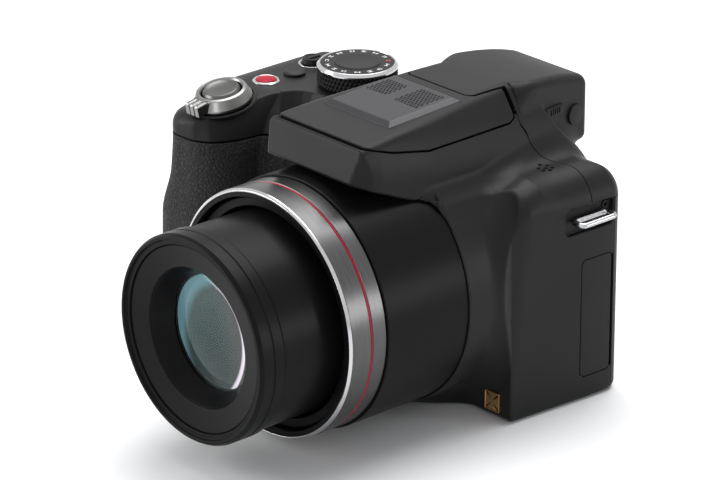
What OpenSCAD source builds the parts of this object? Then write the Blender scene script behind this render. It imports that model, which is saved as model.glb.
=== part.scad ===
// Bridge camera with a two-stage zoom lens, a pop-up flash and a finder.
// Millimetres, +Z up. The origin is the mouth of the tripod socket on the base, under the lens axis.
// The lens looks along -Y, the hand grip is on the -X side.

/* [Body] */
// Lens axis to the side face with the terminal door
body_right = 35; // [34:0.5:40]
// Lens axis to the outer face of the grip
body_left = 85; // [82:0.5:92]
// Tripod axis to the rear face
body_rear = 20; // [19.5:0.5:24]
// Tripod axis to the front face beside the lens
body_front = 17; // [16:0.5:19]
// Height of the top deck above the base
deck_h = 60.5; // [59:0.5:64]
// Wall of the covers
wall = 2; // [1.6:0.1:2.2]
// Radius of the upright edges
edge_r = 5; // [3:0.5:8]
// Radius of the shoulder beside the hump
shoulder_r = 9; // [6:0.5:11]
// Radius of the remaining edges
soft_r = 2.5; // [1.5:0.5:3.5]
// Deck down to the seam under the top cover
seam_drop = 8.5; // [7.5:0.5:9]
// Depth of the rear cover
rear_d = 4; // [3.5:0.25:4.25]

// Width of the bevel on the upright edge beside the lens, seen from the front
bevel_w = 4; // [2:0.5:5]
// Depth of that bevel along the side face
bevel_d = 8.9; // [6:0.1:10]

/* [Grip] */
// Width of the grip
grip_w = 30; // [28:0.5:34]
// How far the grip stands in front of the body
grip_d = 20; // [17:0.5:24]
// Radius of the grip's upright edges
grip_r = 13; // [8:0.5:13.5]
// Slope of the deck over the grip, in degrees
deck_tilt = 12; // [6:1:15]
// Where the slope starts, in front of the tripod axis
tilt_start = 13; // [12:0.5:14]
// How far the upper part of the grip is drawn in
waist_d = 2.8; // [0:0.2:3.4]
// Thickness of the rubber skin
rubber_t = 1.6; // [1:0.1:2]
// Lower edge of the rubber skin
rubber_low = 4; // [3:0.5:8]
// Seam under the top cover down to the rubber skin
rubber_drop = 3.5; // [2:0.5:8]

/* [Hump] */
// Half width of the hump
hump_hw = 18.5; // [17.5:0.5:20]
// Half width of the hump's flat top
hump_top_hw = 17; // [16:0.2:17.4]
// Greatest height of the hump above the deck
hump_rise = 18.5; // [17.5:0.5:21]
// Lower front edge of the hood, in front of the tripod axis
hood_y = 53.3; // [50:0.5:55]
// Barrel up to the hood's lower front edge
hood_clear = 2.7; // [2.5:0.1:3.3]
// Top of the hump down to the hood's upper front edge
hood_fall = 3; // [2:0.5:4]
// How far the front plate of the hood leans back
hood_lean = 2.3; // [1:0.1:4]
// Rear face of the finder, behind the tripod axis
finder_y = 27; // [26:0.5:30]
// Half width of the finder's rear face
finder_hw = 13.1; // [12.8:0.1:14]
// Top of the hump down to the finder's upper rear edge
finder_fall = 3.9; // [2:0.1:4]

/* [Flash] */
// Wall of the flash lid
lid_t = 1.8; // [1.4:0.1:2.2]
// Gap round the flash lid
lid_gap = 0.6; // [0.55:0.05:0.8]
// Half width of the fixed panel between the lid's arms
panel_hw = 11; // [10:0.5:11.5]
// Front edge of the fixed panel, in front of the tripod axis
panel_y = 11; // [8.5:0.2:12]
// Hinge axis to the lid's end and to its top
hinge_in = 3; // [2.8:0.1:3.2]
// Radius of the lid's upper rear edge
lid_round = 2; // [1.8:0.1:2.4]
// Radius of the hinge pin
pin_r = 1.2; // [0.8:0.1:1.4]
// Thickness of the microphone panel
mic_t = 1; // [0.6:0.1:1.4]

/* [Lens] */
// Height of the lens axis
axis_h = 33.7; // [33.5:0.1:34.5]
// Radius of the fixed barrel
barrel_r = 32; // [29:0.1:32.4]
// Front of the fixed barrel, in front of the tripod axis
barrel_y = 56.5; // [54:0.5:58]
// Front of the collar where the body meets the barrel
collar_y = 27; // [24:0.5:29]
// Fixed barrel's radius less the trim ring's
trim_step = 0.6; // [0.4:0.1:1]
// Length of the trim ring
trim_len = 11.5; // [10:0.5:13]
// Trim ring's radius less the bore of its lip
trim_wall = 2.1; // [1.9:0.05:2.2]
// Bore of the lip less the radius of the rear zoom barrel
tube_slip = 0.4; // [0.3:0.05:0.6]
// Radius of the rear zoom barrel less that of the front one
tube_step = 3.3; // [2.9:0.1:3.9]
// Radius of the front ring less that of the front zoom barrel
ring_step = 0.6; // [0.5:0.1:1.4]
// Front of the front ring, in front of the tripod axis
front_ring_y = 91.1; // [90:0.5:93]
// Radius of the front ring less that of the filter thread
ring_wall = 3.2; // [2.4:0.2:4.2]
// Depth of the filter thread
filter_len = 3.5; // [3:0.1:4]
// Radius of the filter thread less that of the front lens
name_w = 6; // [5:0.5:8]
// Running gap between the barrels
tube_gap = 0.35; // [0.2:0.05:0.4]

/* [Controls] */
// Radius of the shutter button
shutter_r = 5.1; // [4.5:0.1:5.5]
// Radius of the zoom lever ring
lever_r = 7.7; // [7.4:0.1:8.2]
// Radius of the mode dial
dial_r = 9.9; // [9:0.1:10.5]
// Height of the mode dial above the deck
dial_h = 6.4; // [5.5:0.1:7]
// Radius of the record button
record_r = 2.6; // [2.2:0.1:3]
// Radius of the burst button
burst_r = 2.9; // [2.4:0.1:3.2]
// Radius of the cursor pad
pad_r = 9; // [8:0.2:9.4]
// Radius of the small rear buttons
key_r = 2.8; // [2.4:0.1:3.2]
// Radius of the buttons above the display
top_key_r = 2.4; // [2:0.1:2.6]
// Radius of the thumb dial
thumb_r = 6.5; // [6.3:0.1:7]

/* [Clearances] */
// Gap round buttons and between pieces that lie close
fit = 0.15; // [0.1:0.05:0.25]
// Seat under pieces that stand on a wall
seat = 0.3; // [0.2:0.05:0.4]
// Radial clearance of pins in their bores
running = 0.05; // [0.02:0.01:0.08]

/* [Interfaces] */
// Radius of the tripod thread
tripod_r = 3.175; // [2.5:0.005:4.8]
// Depth of the tripod thread
tripod_len = 5.5; // [4.5:0.1:6]
// Radius of the tripod insert
insert_r = 6; // [5.5:0.1:6.5]
// Length of a strap lug along the side
lug_len = 12.8; // [10:0.2:14]
// How far a strap lug stands out
lug_out = 3.4; // [3:0.1:4]
// Thickness of a strap lug
lug_t = 1.5; // [1.2:0.1:1.8]
// Lower edge of the terminal door
door_low = 6.3; // [5:0.1:9]
// Upper edge of the terminal door
door_high = 38; // [34:0.5:42]
// Front edge of the terminal door, behind the tripod axis
door_y = 5.2; // [4.8:0.1:6]
// Width of the display window
window_w = 67; // [60:0.5:68]
// Display window up to the seam under the top cover
window_rim = 2; // [1.5:0.5:6]

/* [Hidden] */

// Colours
black = [0.09, 0.09, 0.1];
charcoal = [0.14, 0.14, 0.15];
slate = [0.3, 0.31, 0.34];
rubber_black = [0.06, 0.06, 0.065];
silver = [0.62, 0.62, 0.61];
steel = [0.72, 0.72, 0.72];
glass_green = [0.2, 0.38, 0.36, 0.6];

// Main planes of the body
x_r = body_right;
x_l = -body_left;
y_r = body_rear;
y_f = -body_front;
grip_x = x_l + grip_w;
grip_y = y_f - grip_d;
rear_in = y_r - wall;
side_in = wall + rubber_t;
top_seam = deck_h - seam_drop;
rubber_high = top_seam - rubber_drop;
hump_h = deck_h + hump_rise;
hood_low = axis_h + barrel_r + hood_clear;
hood_high = hump_h - hood_fall;
finder_h = hump_h - finder_fall;
trim_r = barrel_r - trim_step;
trim_bore_r = trim_r - trim_wall;
rear_tube_r = trim_bore_r - tube_slip;
front_tube_r = rear_tube_r - tube_step;
front_ring_r = front_tube_r + ring_step;
filter_r = front_ring_r - ring_wall;
front_glass_r = filter_r - name_w;
far = 200;
$fn = 64;

// Height of the deck at a place in front of or behind the tripod axis
function deck_at(y) = deck_h - max(0, -tilt_start - y) * tan(deck_tilt);
// Points of an arc about a centre
function arc(c, r, a0, a1, n = 10) =
  [for (i = [0:n]) let (a = a0 + (a1 - a0) * i / n) c + r * [cos(a), sin(a)]];
// Smooth rise from 0 to 1
function rise(t) = let (u = min(1, max(0, t))) u * u * (3 - 2 * u);
// Points mirrored about the vertical axis, in reverse order
function mirrored(p) = [for (i = [len(p) - 1:-1:0]) [-p[i][0], p[i][1]]];

// Extrude a (y, z) outline from x0 to x1
module along_x(x0, x1) {
  translate([x0, 0, 0]) rotate([90, 0, 90]) linear_extrude(x1 - x0) children();
}

// Extrude an (x, z) outline from y0 to y1
module along_y(y0, y1) {
  translate([0, y1, 0]) rotate([90, 0, 0]) linear_extrude(y1 - y0) children();
}

// Box between two corners
module block(a, b) {
  translate(a) cube(b - a);
}

// Cylinder or cone on the lens axis, from d0 to d1 in front of the tripod axis
module lens_cyl(d0, d1, ra, rb) {
  translate([0, -d0, axis_h]) rotate([90, 0, 0]) cylinder(h = d1 - d0, r1 = ra, r2 = rb);
}

// Ring on the lens axis
module lens_tube(d0, d1, r_out, r_in) {
  difference() {
    lens_cyl(d0, d1, r_out, r_out);
    lens_cyl(d0 - 1, d1 + 1, r_in, r_in);
  }
}

// Cylinder along Y from y0 to y1
module y_cyl(x, z, r, y0, y1) {
  translate([x, y0, z]) rotate([-90, 0, 0]) cylinder(h = y1 - y0, r = r);
}

// Cylinder along X from x0 to x1
module x_cyl(y, z, r, x0, x1) {
  translate([x0, y, z]) rotate([0, 90, 0]) cylinder(h = x1 - x0, r = r);
}

// Rectangle with round corners
module rounded(x0, y0, x1, y1, r) {
  translate([x0 + r, y0 + r]) offset(r = r, $fn = 40) square([x1 - x0 - 2 * r, y1 - y0 - 2 * r]);
}

// Body outlines from above, from the front and from the side
gap_fillet = 6;
waist_low = 16;
waist_high = top_seam - 10;
outline_steps = 9;

// Bevel of the upright edge beside the lens; its line runs on by over at both ends
module bevel_cut() {
  over = 0.5;
  step = [bevel_w, bevel_d] * over;
  polygon([
    [x_r - bevel_w, y_f] - step, [x_r, y_f + bevel_d] + step,
    [x_r + bevel_w, y_f + bevel_d], [x_r + bevel_w, y_f - bevel_d]
  ]);
}

module plan_outline() {
  offset(r = -gap_fillet, $fn = 40) offset(r = gap_fillet, $fn = 40) {
    difference() {
      rounded(x_l, y_f, x_r, y_r, edge_r);
      bevel_cut();
    }
    rounded(x_l, grip_y, grip_x, y_r, grip_r);
  }
}

module elevation_outline() {
  offset(r = soft_r, $fn = 32) offset(delta = -soft_r) polygon(concat(
    [[x_l, 0], [x_r, 0]],
    arc([x_r - shoulder_r, deck_h - shoulder_r], shoulder_r, 0, 90),
    [for (i = [0:outline_steps]) let (z = deck_h + (waist_low - deck_h) * i / outline_steps)
      [x_l + waist_d * rise((z - waist_low) / (waist_high - waist_low)), z]]
  ));
}

module side_outline() {
  offset(r = soft_r, $fn = 32) offset(delta = -soft_r) polygon([
    [y_r, 0], [y_r, deck_h], [-tilt_start, deck_h], [grip_y, deck_at(grip_y)], [grip_y, 0]
  ]);
}

// Brow: beside the grip the deck falls a little and then rounds into the front face
brow_y = 7;
brow_d = 4.5;
brow_tilt = 17;
brow_r = 10;

module brow_cut() {
  edge = [-brow_y - brow_d, deck_h - brow_d * tan(brow_tilt)];
  along_x(grip_x + gap_fillet / 2, far) polygon([
    [-brow_y, deck_h], edge, [y_f + 1.4, edge[1] - 0.45 * brow_r], [y_f, edge[1] - brow_r],
    [y_f - far, edge[1] - brow_r], [y_f - far, far], [-brow_y, far]
  ]);
}

// Body below the hump, drawn in by side_d all round and by flat_d at the base, deck and rear
module body_block(side_d, flat_d) {
  difference() {
    intersection() {
      linear_extrude(deck_h) offset(delta = -side_d) plan_outline();
      along_y(grip_y, y_r) intersection() {
        translate([side_d, 0]) elevation_outline();
        translate([-side_d, 0]) elevation_outline();
      }
      along_x(x_l, x_r) offset(delta = -flat_d) side_outline();
    }
    translate([side_d, 0, -flat_d]) brow_cut();
  }
}

// Hump outlines
flare_r = 5.5;
hump_root = 8;
lid_mid_y = 40;
lid_mid_share = 0.37;
finder_root_hw = 15;
finder_root_y = 9;
hood_side_hw = 17.1;
hood_back_y = 30.3;
hood_back_h = deck_h - 1.9;
hood_wide_y = 46;
flare_front_y = y_f - 4;
flare_rear_y = 2;
panel_drop = 0.4;
finder_drop = 0.6;
finder_sink = 2;
top_line = [
  [-(hood_y - hood_lean), hood_high],
  [-lid_mid_y, hood_high + lid_mid_share * (hump_h - hood_high)],
  [-panel_y, hump_h - panel_drop],
  [0, hump_h],
  [finder_root_y, hump_h - finder_drop],
  [finder_y, finder_h]
];

// Height of the hump's top line at a place along Y
function hump_top(y) = lookup(y, top_line);

module hump_side_outline() {
  polygon(concat(top_line, [
    [finder_y, deck_h - finder_sink], [y_r, deck_h - finder_sink], [y_r, deck_h - hump_root],
    [y_f, deck_h - hump_root],
    [-hood_back_y, hood_back_h], [-hood_y, hood_low]
  ]));
}

module hump_section() {
  right = concat(
    [[hump_hw + flare_r, deck_h - hump_root]],
    arc([hump_hw + flare_r, deck_h + flare_r], flare_r, 270, 180),
    [[hump_top_hw, hump_h + 1]]
  );
  offset(r = soft_r, $fn = 32) offset(delta = -soft_r) polygon(concat(right, mirrored(right)));
}

module hump_plan() {
  right = [
    [hood_side_hw, -hood_y - 1], [hump_hw, -hood_wide_y], [hump_hw + 1, -hood_back_y],
    [hump_hw + flare_r, flare_front_y], [hump_hw + flare_r, flare_rear_y],
    [hump_hw - finder_drop, finder_root_y - 1], [finder_root_hw, finder_root_y], [finder_hw, finder_y + 1]
  ];
  polygon(concat(right, mirrored(right)));
}

// Slanted upper side of the hump: a plane through a point on the ridge, tilted up and turned to the front
ridge_at = [13.4, -14, hump_h - 0.6];
ridge_tilt = 34;
ridge_turn = 4.5;

module ridge_cut(d) {
  for (s = [0, 1]) mirror([s, 0, 0]) translate(ridge_at) rotate([0, -ridge_tilt, ridge_turn])
    block([-d, -far / 2, -far / 2], [far, far / 2, far / 2]);
}

// Hump drawn in by d on all sides
module hump(d) {
  difference() {
    intersection() {
      along_x(-far / 2, far / 2) offset(delta = -d) hump_side_outline();
      along_y(-far / 2, far / 2) offset(delta = -d) hump_section();
      translate([0, 0, deck_h - hump_root]) linear_extrude(hump_h) offset(delta = -d) hump_plan();
    }
    ridge_cut(d);
  }
}

// Flash lid zone seen from the side, grown by g
lid_side_h = hump_h - 8.2;
lid_front_h = hood_high + 0.3;
lid_front_y = hood_y - 2.6;
lid_step_y = 41.7;
lid_step_h = hump_h - 5.6;
lid_beyond = 12;
lid_corner_r = 3;
lid_end_y = 0;
hinge_y = hinge_in - lid_end_y;
hinge_h = hump_h - hinge_in;

module lid_outline(g) {
  offset(delta = g) offset(r = lid_corner_r, $fn = 32) offset(delta = -lid_corner_r) polygon([
    [-hood_y - lid_beyond, lid_front_h], [-lid_front_y, lid_front_h], [-lid_step_y, lid_step_h],
    [-hood_back_y, lid_side_h + 0.3], [lid_end_y, lid_side_h], [lid_end_y, hump_h + lid_beyond],
    [-hood_y - lid_beyond, hump_h + lid_beyond]
  ]);
}

module panel_zone(g) {
  block([-panel_hw - g, -panel_y - g, lid_side_h], [panel_hw + g, lid_end_y + 3, hump_h + lid_beyond]);
}

// Space that the lid takes out of the fixed covers
module lid_space() {
  difference() {
    along_x(-far / 2, far / 2) lid_outline(lid_gap);
    panel_zone(0);
  }
}

// Collar that leads from the body to the barrel
collar_spread = 4.5;
collar_lip = 0.9;

module collar() {
  intersection() {
    lens_cyl(body_front - wall, collar_y, barrel_r + collar_spread, barrel_r + collar_lip);
    along_y(-collar_y, 0) elevation_outline();
  }
}

// Space for the barrel in the collar and under the hood
hood_gap = 1;
spigot_r = barrel_r - 1.4;
spigot_y = body_front - 5;

module barrel_space() {
  lens_cyl(body_front, barrel_y + trim_len, barrel_r + running, barrel_r + running);
  lens_cyl(collar_y, barrel_y + trim_len, barrel_r + hood_gap, barrel_r + hood_gap);
  lens_cyl(0, body_front + 1, spigot_r + running, spigot_r + running);
}

// Space inside the covers; the second copy brings the grip's rear wall to the common thickness
module cavity() {
  for (dy = [0, rubber_t]) translate([0, dy, 0]) body_block(side_in, wall);
  intersection() {
    body_block(wall, wall);
    block([grip_x, -far / 2, 0], [far, far / 2, far]);
  }
  difference() {
    hump(wall);
    lens_cyl(body_front - wall, hood_y + 5, barrel_r + hood_gap + wall, barrel_r + hood_gap + wall);
  }
}

// The covers in one piece, before they are parted at the seams
module shell() {
  difference() {
    union() {
      body_block(0, 0);
      hump(0);
      collar();
    }
    cavity();
    barrel_space();
  }
}

// Zones of the rear and top covers
seam_side_y = 8.5;
seam_left_y = 5;
seam_grip = 4;

module rear_zone() {
  block([x_l - 5, y_r - rear_d, -1], [x_r + 5, y_r + 5, top_seam]);
}

module top_zone() {
  translate([0, 0, top_seam]) linear_extrude(far) polygon([
    [x_l - 5, grip_y - 5], [grip_x - seam_grip - 1, grip_y - 5], [grip_x - seam_grip, y_f - 5],
    [grip_x - seam_grip / 2, -seam_left_y - 1],
    [-hump_hw - 1, -seam_left_y], [-hump_hw - 1, lid_end_y + lid_gap], [hump_hw, lid_end_y + lid_gap],
    [x_r + 5, seam_side_y], [x_r + 5, finder_y + 5], [x_l - 5, finder_y + 5]
  ]);
}

module rubber_skin() {
  difference() {
    intersection() {
      body_block(0, 0);
      block([x_l - 5, grip_y - 5, rubber_low], [grip_x + 1, 2, rubber_high]);
    }
    body_block(rubber_t, 0);
  }
}

// Places of the controls on the deck
shutter_at = [-67.4, -23];
record_at = [-67.3, -8.6];
burst_at = [-66, 0];
power_at = [-69, 9];
dial_at = [-49.7, 7.2];
dial_shaft_r = 3;
speaker_at = [22, 3.6];
speaker_r = 4;
speaker_hole_r = 0.45;
speaker_ring_r = 1.7;
power_slot = [2.2, 6.4];
power_travel = 3;

// Frame on the sloping deck at the shutter button
module on_grip_deck() {
  translate([shutter_at[0], shutter_at[1], deck_at(shutter_at[1])]) rotate([deck_tilt, 0, 0]) children();
}

// Places of the controls on the rear, as [x, z]
play_at = [-54, top_seam - 14];
top_key_z = (top_seam + deck_h - wall) / 2;
lock_at = [-42, top_key_z];
finder_at = [-26, top_key_z];
menu_at = [-54, 8.5];
pad_at = [-65.5, 22];
thumb_at = [-66, top_seam - 6.2];
thumb_t = 3.6;
thumb_proud = 2;
set_r = 4;
window_x = -42.5;
window_z = 4;
window_h = top_seam - window_rim - window_z;
window_proud = 0.2;

// Terminal door sizes
door_t = 1.7;
door_pin_r = 0.6;
door_end_r = 1.1;
door_edge_y = y_r - rear_d - 0.6;
door_hinge = [x_r - door_end_r, door_y + door_end_r];
door_gap = 0.25;

// Battery door sizes
bay_gap = 0.6;
bay_x0 = x_l + side_in + waist_d + bay_gap;
bay_x1 = grip_x - side_in - bay_gap;
bay_y0 = grip_y + grip_r - 3;
bay_y1 = 7;
bay_top = top_seam - 8;
case_t = 1;
card_t = 2.1;
card_x = bay_x1 - card_t;
card_y0 = -15;
card_top = bay_top - 8;
battery_x1 = card_x - case_t - fit;
hatch_x0 = bay_x0 - 0.2;
hatch_x1 = bay_x1 + 0.4;
hatch_y0 = bay_y0 - 0.4;
hatch_y1 = bay_y1 + 0.4;
hatch_t = 1.7;
hatch_pin_r = 0.6;
hatch_end_r = 1.05;
hatch_hinge = [hatch_x1 - hatch_end_r, hatch_end_r];

// Strap lug places
lug_right_at = [1.5, top_seam - 4];
lug_left_at = [2.8, top_seam - 5.5];
lug_root = 2.6;
lug_left_x = x_l + waist_d;
lug_bar = 1.3;

// Plan of a strap lug: a bar bent round a slot, from the root at x = 0
module lug_plan() {
  difference() {
    rounded(-lug_root, 0, lug_out, lug_len, 1);
    rounded(0.3, lug_bar, lug_out - lug_bar, lug_len - lug_bar, 0.5);
  }
}

module lug_slot(x0, x1, at) {
  block([x0, at[0] - running, at[1] - running], [x1, at[0] + lug_len + running, at[1] + lug_t + running]);
}

// Screw places on the base, as [x, y]
screw_places = [[-45, 12], [29, 12], [-45, -11], [29, -13.4]];
screw_r = 0.9;
screw_head_r = 1.5;
screw_head_h = 0.8;
screw_inset = 0.2;

module screw_holes() {
  for (p = screw_places) translate([p[0], p[1], -1]) {
    cylinder(h = wall + 2, r = screw_r + fit);
    cylinder(h = 1 + screw_inset + screw_head_h + fit, r = screw_head_r + fit);
  }
}

// Flash head sizes
head_hw = 13;
head_front = 48.2;
head_foot = 40.6;
head_back = 34;
well_gap = 0.9;
head_low = max(hump_h - 9.4, axis_h + barrel_r + hood_gap + wall + well_gap);
head_high = hump_h - 4;

// Room for the flash head in the hood
module flash_well() {
  block([-head_hw - well_gap, -head_front - well_gap, head_low - well_gap / 2],
    [head_hw + well_gap, -head_back + well_gap, hump_h]);
}

// Front cover with the hood, the lens collar, the grip core and the side face
module front_cover() {
  color(black) difference() {
    shell();
    rear_zone();
    top_zone();
    difference() {
      panel_zone(lid_gap);
      rear_zone();
    }
    lid_space();
    flash_well();
    rubber_skin();
    for (i = [0:6]) translate([speaker_at[0], speaker_at[1], deck_h - 4]) rotate(60 * i)
      translate([i == 0 ? 0 : speaker_ring_r, 0, 0]) cylinder(h = 4 * wall, r = speaker_hole_r, $fn = 16);
    block([x_r - 5, door_y, door_low], [x_r + 5, door_edge_y, door_high]);
    translate([door_hinge[0], door_hinge[1], door_low - 1.5])
      cylinder(h = door_high - door_low + 3, r = door_pin_r + running);
    block([hatch_x0, hatch_y0, -1], [hatch_x1, hatch_y1, wall + 3]);
    translate([hatch_hinge[0], hatch_y0 - 1.5, hatch_hinge[1]]) rotate([-90, 0, 0])
      cylinder(h = hatch_y1 - hatch_y0 + 3, r = hatch_pin_r + running);
    lug_slot(x_r - lug_root - 1, x_r + 1, lug_right_at);
    lug_slot(lug_left_x - 3, lug_left_x + lug_root + running, lug_left_at);
    translate([0, 0, -1]) cylinder(h = wall + 2, r = insert_r + running);
    badge_space(running);
    screw_holes();
  }
}

// Rear cover with the openings of the display and the keys
module rear_cover() {
  color(black) difference() {
    intersection() {
      shell();
      rear_zone();
    }
    block([window_x - running, y_r - rear_d - 1, window_z - running],
      [window_x + window_w + running, y_r + 1, window_z + window_h + running]);
    for (p = [play_at, menu_at]) y_cyl(p[0], p[1], key_r + fit, y_r - rear_d - 1, y_r + 1);
    y_cyl(pad_at[0], pad_at[1], pad_r + fit, y_r - rear_d - 1, y_r + 1);
    block([thumb_at[0] - thumb_r - seat, y_r - rear_d - 1, thumb_at[1] - seat],
      [thumb_at[0] + thumb_r + seat, y_r + 1, thumb_at[1] + thumb_t + seat]);
  }
}

// Finder sizes inside the top cover
tube_hw = 9.4;
tube_t = 1.4;
tube_low = deck_h + wall + seat;
tube_top = finder_h - wall - 1.2;
eye_hw = 8;
eye_inset = 0.6;
eye_low = deck_h + wall + 1.4;
eye_high = finder_h - wall - 2;
slider_z = finder_h - 6.4;
slider_len = 7;
slider_y = 10.4;
slider_travel = 2;
slider_slot = [2.6, 1.5];
finder_lean = atan((finder_root_hw - finder_hw) / (finder_y + 1 - finder_root_y));
diopter_at = [22.4, finder_h - 8.9];
diopter_r = 2.8;

// Half width of the finder at a place along Y
function finder_at_y(y) = finder_root_hw - (y - finder_root_y) * tan(finder_lean);

// Frame on the finder's side face at a place along Y, with X outwards and Y along the face
module on_finder_side(y) {
  translate([finder_at_y(y), y, 0]) rotate(finder_lean) children();
}

ear_t = 2.4;
ear_drop = 2.6;
lever_wall = 1.7;
rim_w = 1;
rim_h = 0.6;
power_lead = 1.6;
slider_lead = 0.9;
diopter_shaft_r = 1;

// Top cover with the deck over the grip, the panel between the flash arms and the finder housing
module top_cover() {
  color(black) difference() {
    union() {
      difference() {
        intersection() {
          shell();
          union() {
            top_zone();
            panel_zone(0);
          }
        }
        lid_space();
      }
      for (s = [-1, 1]) intersection() {
        hump(wall / 2);
        translate([s * (panel_hw - ear_t / 2) - ear_t / 2, -hinge_y - ear_t, hinge_h - ear_drop])
          cube([ear_t, 7, 7]);
      }
    }
    for (s = [-1, 1]) x_cyl(-hinge_y, hinge_h, pin_r + running, s * panel_hw - 3, s * panel_hw + 3);
    on_grip_deck() cylinder(h = 8 * wall, r = lever_r - lever_wall + fit, center = true);
    for (b = [[record_at, record_r], [burst_at, burst_r], [dial_at, dial_shaft_r]])
      translate([b[0][0], b[0][1], deck_h - 4]) cylinder(h = 8, r = b[1] + fit);
    translate([record_at[0], record_at[1], deck_h - rim_h]) cylinder(h = 2, r = record_r + rim_w + running);
    translate([power_at[0] - power_slot[0] / 2, power_at[1] - power_lead, deck_h - 4])
      cube([power_slot[0], power_slot[1], 8]);
    for (p = [lock_at, finder_at]) y_cyl(p[0], p[1], top_key_r + fit, y_r - rear_d - 1, y_r + 1);
    block([-eye_hw, finder_y - wall - 1, eye_low], [eye_hw, finder_y + 1, eye_high]);
    on_finder_side(slider_y) block([-4, slider_lead, slider_z - fit],
      [4, slider_lead + slider_slot[0] + slider_travel + 2 * fit, slider_z + slider_slot[1] + fit]);
    on_finder_side(diopter_at[0]) x_cyl(0, diopter_at[1], diopter_r + seat, -1.2, 4);
    on_finder_side(diopter_at[0]) x_cyl(0, diopter_at[1], diopter_shaft_r + running, -4, 4);
  }
}

module grip_rubber() {
  color(rubber_black) rubber_skin();
}

// Chassis: an upright plate behind the board and a foot round the tripod socket
plate_t = 0.8;
panel_t = 3;
board_t = 1.2;
panel_y1 = rear_in - 0.2;
plate_y1 = panel_y1 - panel_t - 0.2;
board_y1 = plate_y1 - plate_t - 1;
board_x0 = -48;
board_x1 = 25;
board_z0 = 5;
board_z1 = top_seam - 2;
post_r = 1.4;
foot_hw = 16;
chip_pitch = 12;
chip_w = 8;
chip_t = 1.2;
chip_z = board_z1 - 14;

module chassis() {
  color(steel) {
    block([board_x0 - 2, plate_y1 - plate_t, wall], [board_x1 + 1, plate_y1, board_z1 + 1]);
    difference() {
      block([-foot_hw, -spigot_y + 1.5, wall], [foot_hw, plate_y1, wall + plate_t]);
      cylinder(h = far, r = insert_r + fit, center = true);
    }
    for (x = [board_x0 + 4, board_x1 - 4], z = [board_z0 + 4, board_z1 - 4])
      y_cyl(x, z, post_r, board_y1, plate_y1 - plate_t / 2);
  }
}

module main_board() {
  color("darkgreen") {
    block([board_x0, board_y1 - board_t, board_z0], [board_x1, board_y1, board_z1]);
    for (i = [0:2]) block([board_x0 + chip_pitch * (i + 0.5), board_y1 - board_t - chip_t, chip_z],
      [board_x0 + chip_pitch * (i + 0.5) + chip_w, board_y1 - board_t + 0.2, chip_z + chip_w]);
  }
}

insert_cap = 1.2;
insert_rim = 2;

module tripod_socket() {
  color(steel) difference() {
    union() {
      cylinder(h = tripod_len + insert_cap, r = insert_r);
      translate([0, 0, wall + plate_t]) cylinder(h = insert_cap, r = insert_r + insert_rim);
    }
    translate([0, 0, -1]) cylinder(h = tripod_len + 1, r = tripod_r);
  }
}

// Fixed lens barrel: outer tube, sleeve under the trim ring, spigot and rear wall
sleeve_r = trim_r - 1.2;
base_drum_r = 14 + barrel_r / 4;
drum_t = 3;
trim_lip = 1.4;

module lens_barrel() {
  color(charcoal) difference() {
    union() {
      lens_cyl(body_front, barrel_y, barrel_r, barrel_r);
      lens_cyl(barrel_y - 1, barrel_y + trim_len - 1.6, sleeve_r, sleeve_r);
      lens_cyl(spigot_y, body_front + 1, spigot_r, spigot_r);
    }
    lens_cyl(spigot_y + 1.4, barrel_y + trim_len, trim_bore_r - 0.1, trim_bore_r - 0.1);
    lens_cyl(spigot_y - 1, spigot_y + 3, base_drum_r - drum_t, base_drum_r - drum_t);
  }
}

// Trim ring with a polished front chamfer and a groove for the red line
line_y = barrel_y + 4.2;
line_w = 0.7;
line_depth = 0.35;

module trim_ring() {
  color(silver) difference() {
    translate([0, -barrel_y, axis_h]) rotate([90, 0, 0]) rotate_extrude() polygon([
      [sleeve_r + running, 0], [trim_r, 0], [trim_r, trim_len - 1.2], [trim_r - 0.6, trim_len],
      [trim_bore_r, trim_len], [trim_bore_r, trim_len - trim_lip], [sleeve_r + running, trim_len - trim_lip]
    ]);
    lens_tube(line_y, line_y + line_w, trim_r + 1, trim_r - line_depth);
  }
}

module red_line() {
  color("crimson") lens_tube(line_y, line_y + line_w, trim_r - 0.05, trim_r - line_depth);
}

// Lens base: the drum behind the barrel that carries the rear group and the sensor
drum_back = -4;

module lens_base() {
  color(charcoal) difference() {
    lens_cyl(drum_back, spigot_y, base_drum_r, base_drum_r);
    lens_cyl(drum_back + 2, spigot_y + 1, base_drum_r - drum_t, base_drum_r - drum_t);
    lens_cyl(drum_back - 1, spigot_y, rear_glass_r - 1, rear_glass_r - 1);
  }
}

rear_glass_r = 8;
rear_glass_t = 3;

module rear_lens() {
  front = drum_back + 2 + rear_glass_t;
  color(glass_green) {
    lens_cyl(drum_back + 2, front, rear_glass_r, rear_glass_r);
    lens_cyl(front, front + 1.2, rear_glass_r, rear_glass_r - 3);
  }
}

sensor_frame = [13, 1.6, 11];
sensor_face = [5, 0.8, 4];

module sensor_unit() {
  color("dimgray") {
    block([-sensor_frame[0], -drum_back, axis_h - sensor_frame[2]],
      [sensor_frame[0], -drum_back + sensor_frame[1], axis_h + sensor_frame[2]]);
    block([-sensor_face[0], -drum_back - sensor_face[1], axis_h - sensor_face[2]],
      [sensor_face[0], -drum_back + 0.5, axis_h + sensor_face[2]]);
  }
}

// Focus group: a small lens cell that runs inside the drum
focus_r = 12;
focus_y = 5;

module focus_group() {
  color(glass_green) union() {
    lens_tube(focus_y - 2, focus_y + 2, focus_r, focus_r - 2);
    lens_cyl(focus_y - 1.2, focus_y + 1.2, focus_r - 1.5, focus_r - 1.5);
    for (a = [90, 270]) translate([0, -focus_y, axis_h]) rotate([90, 0, 0]) rotate(a)
      translate([focus_r - 1, 0, -1]) rotate([0, 90, 0])
        cylinder(h = base_drum_r - drum_t - focus_r + 1 - fit, r = 0.9);
  }
}

motor_r = 4.5;
motor_x = -39;

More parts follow.
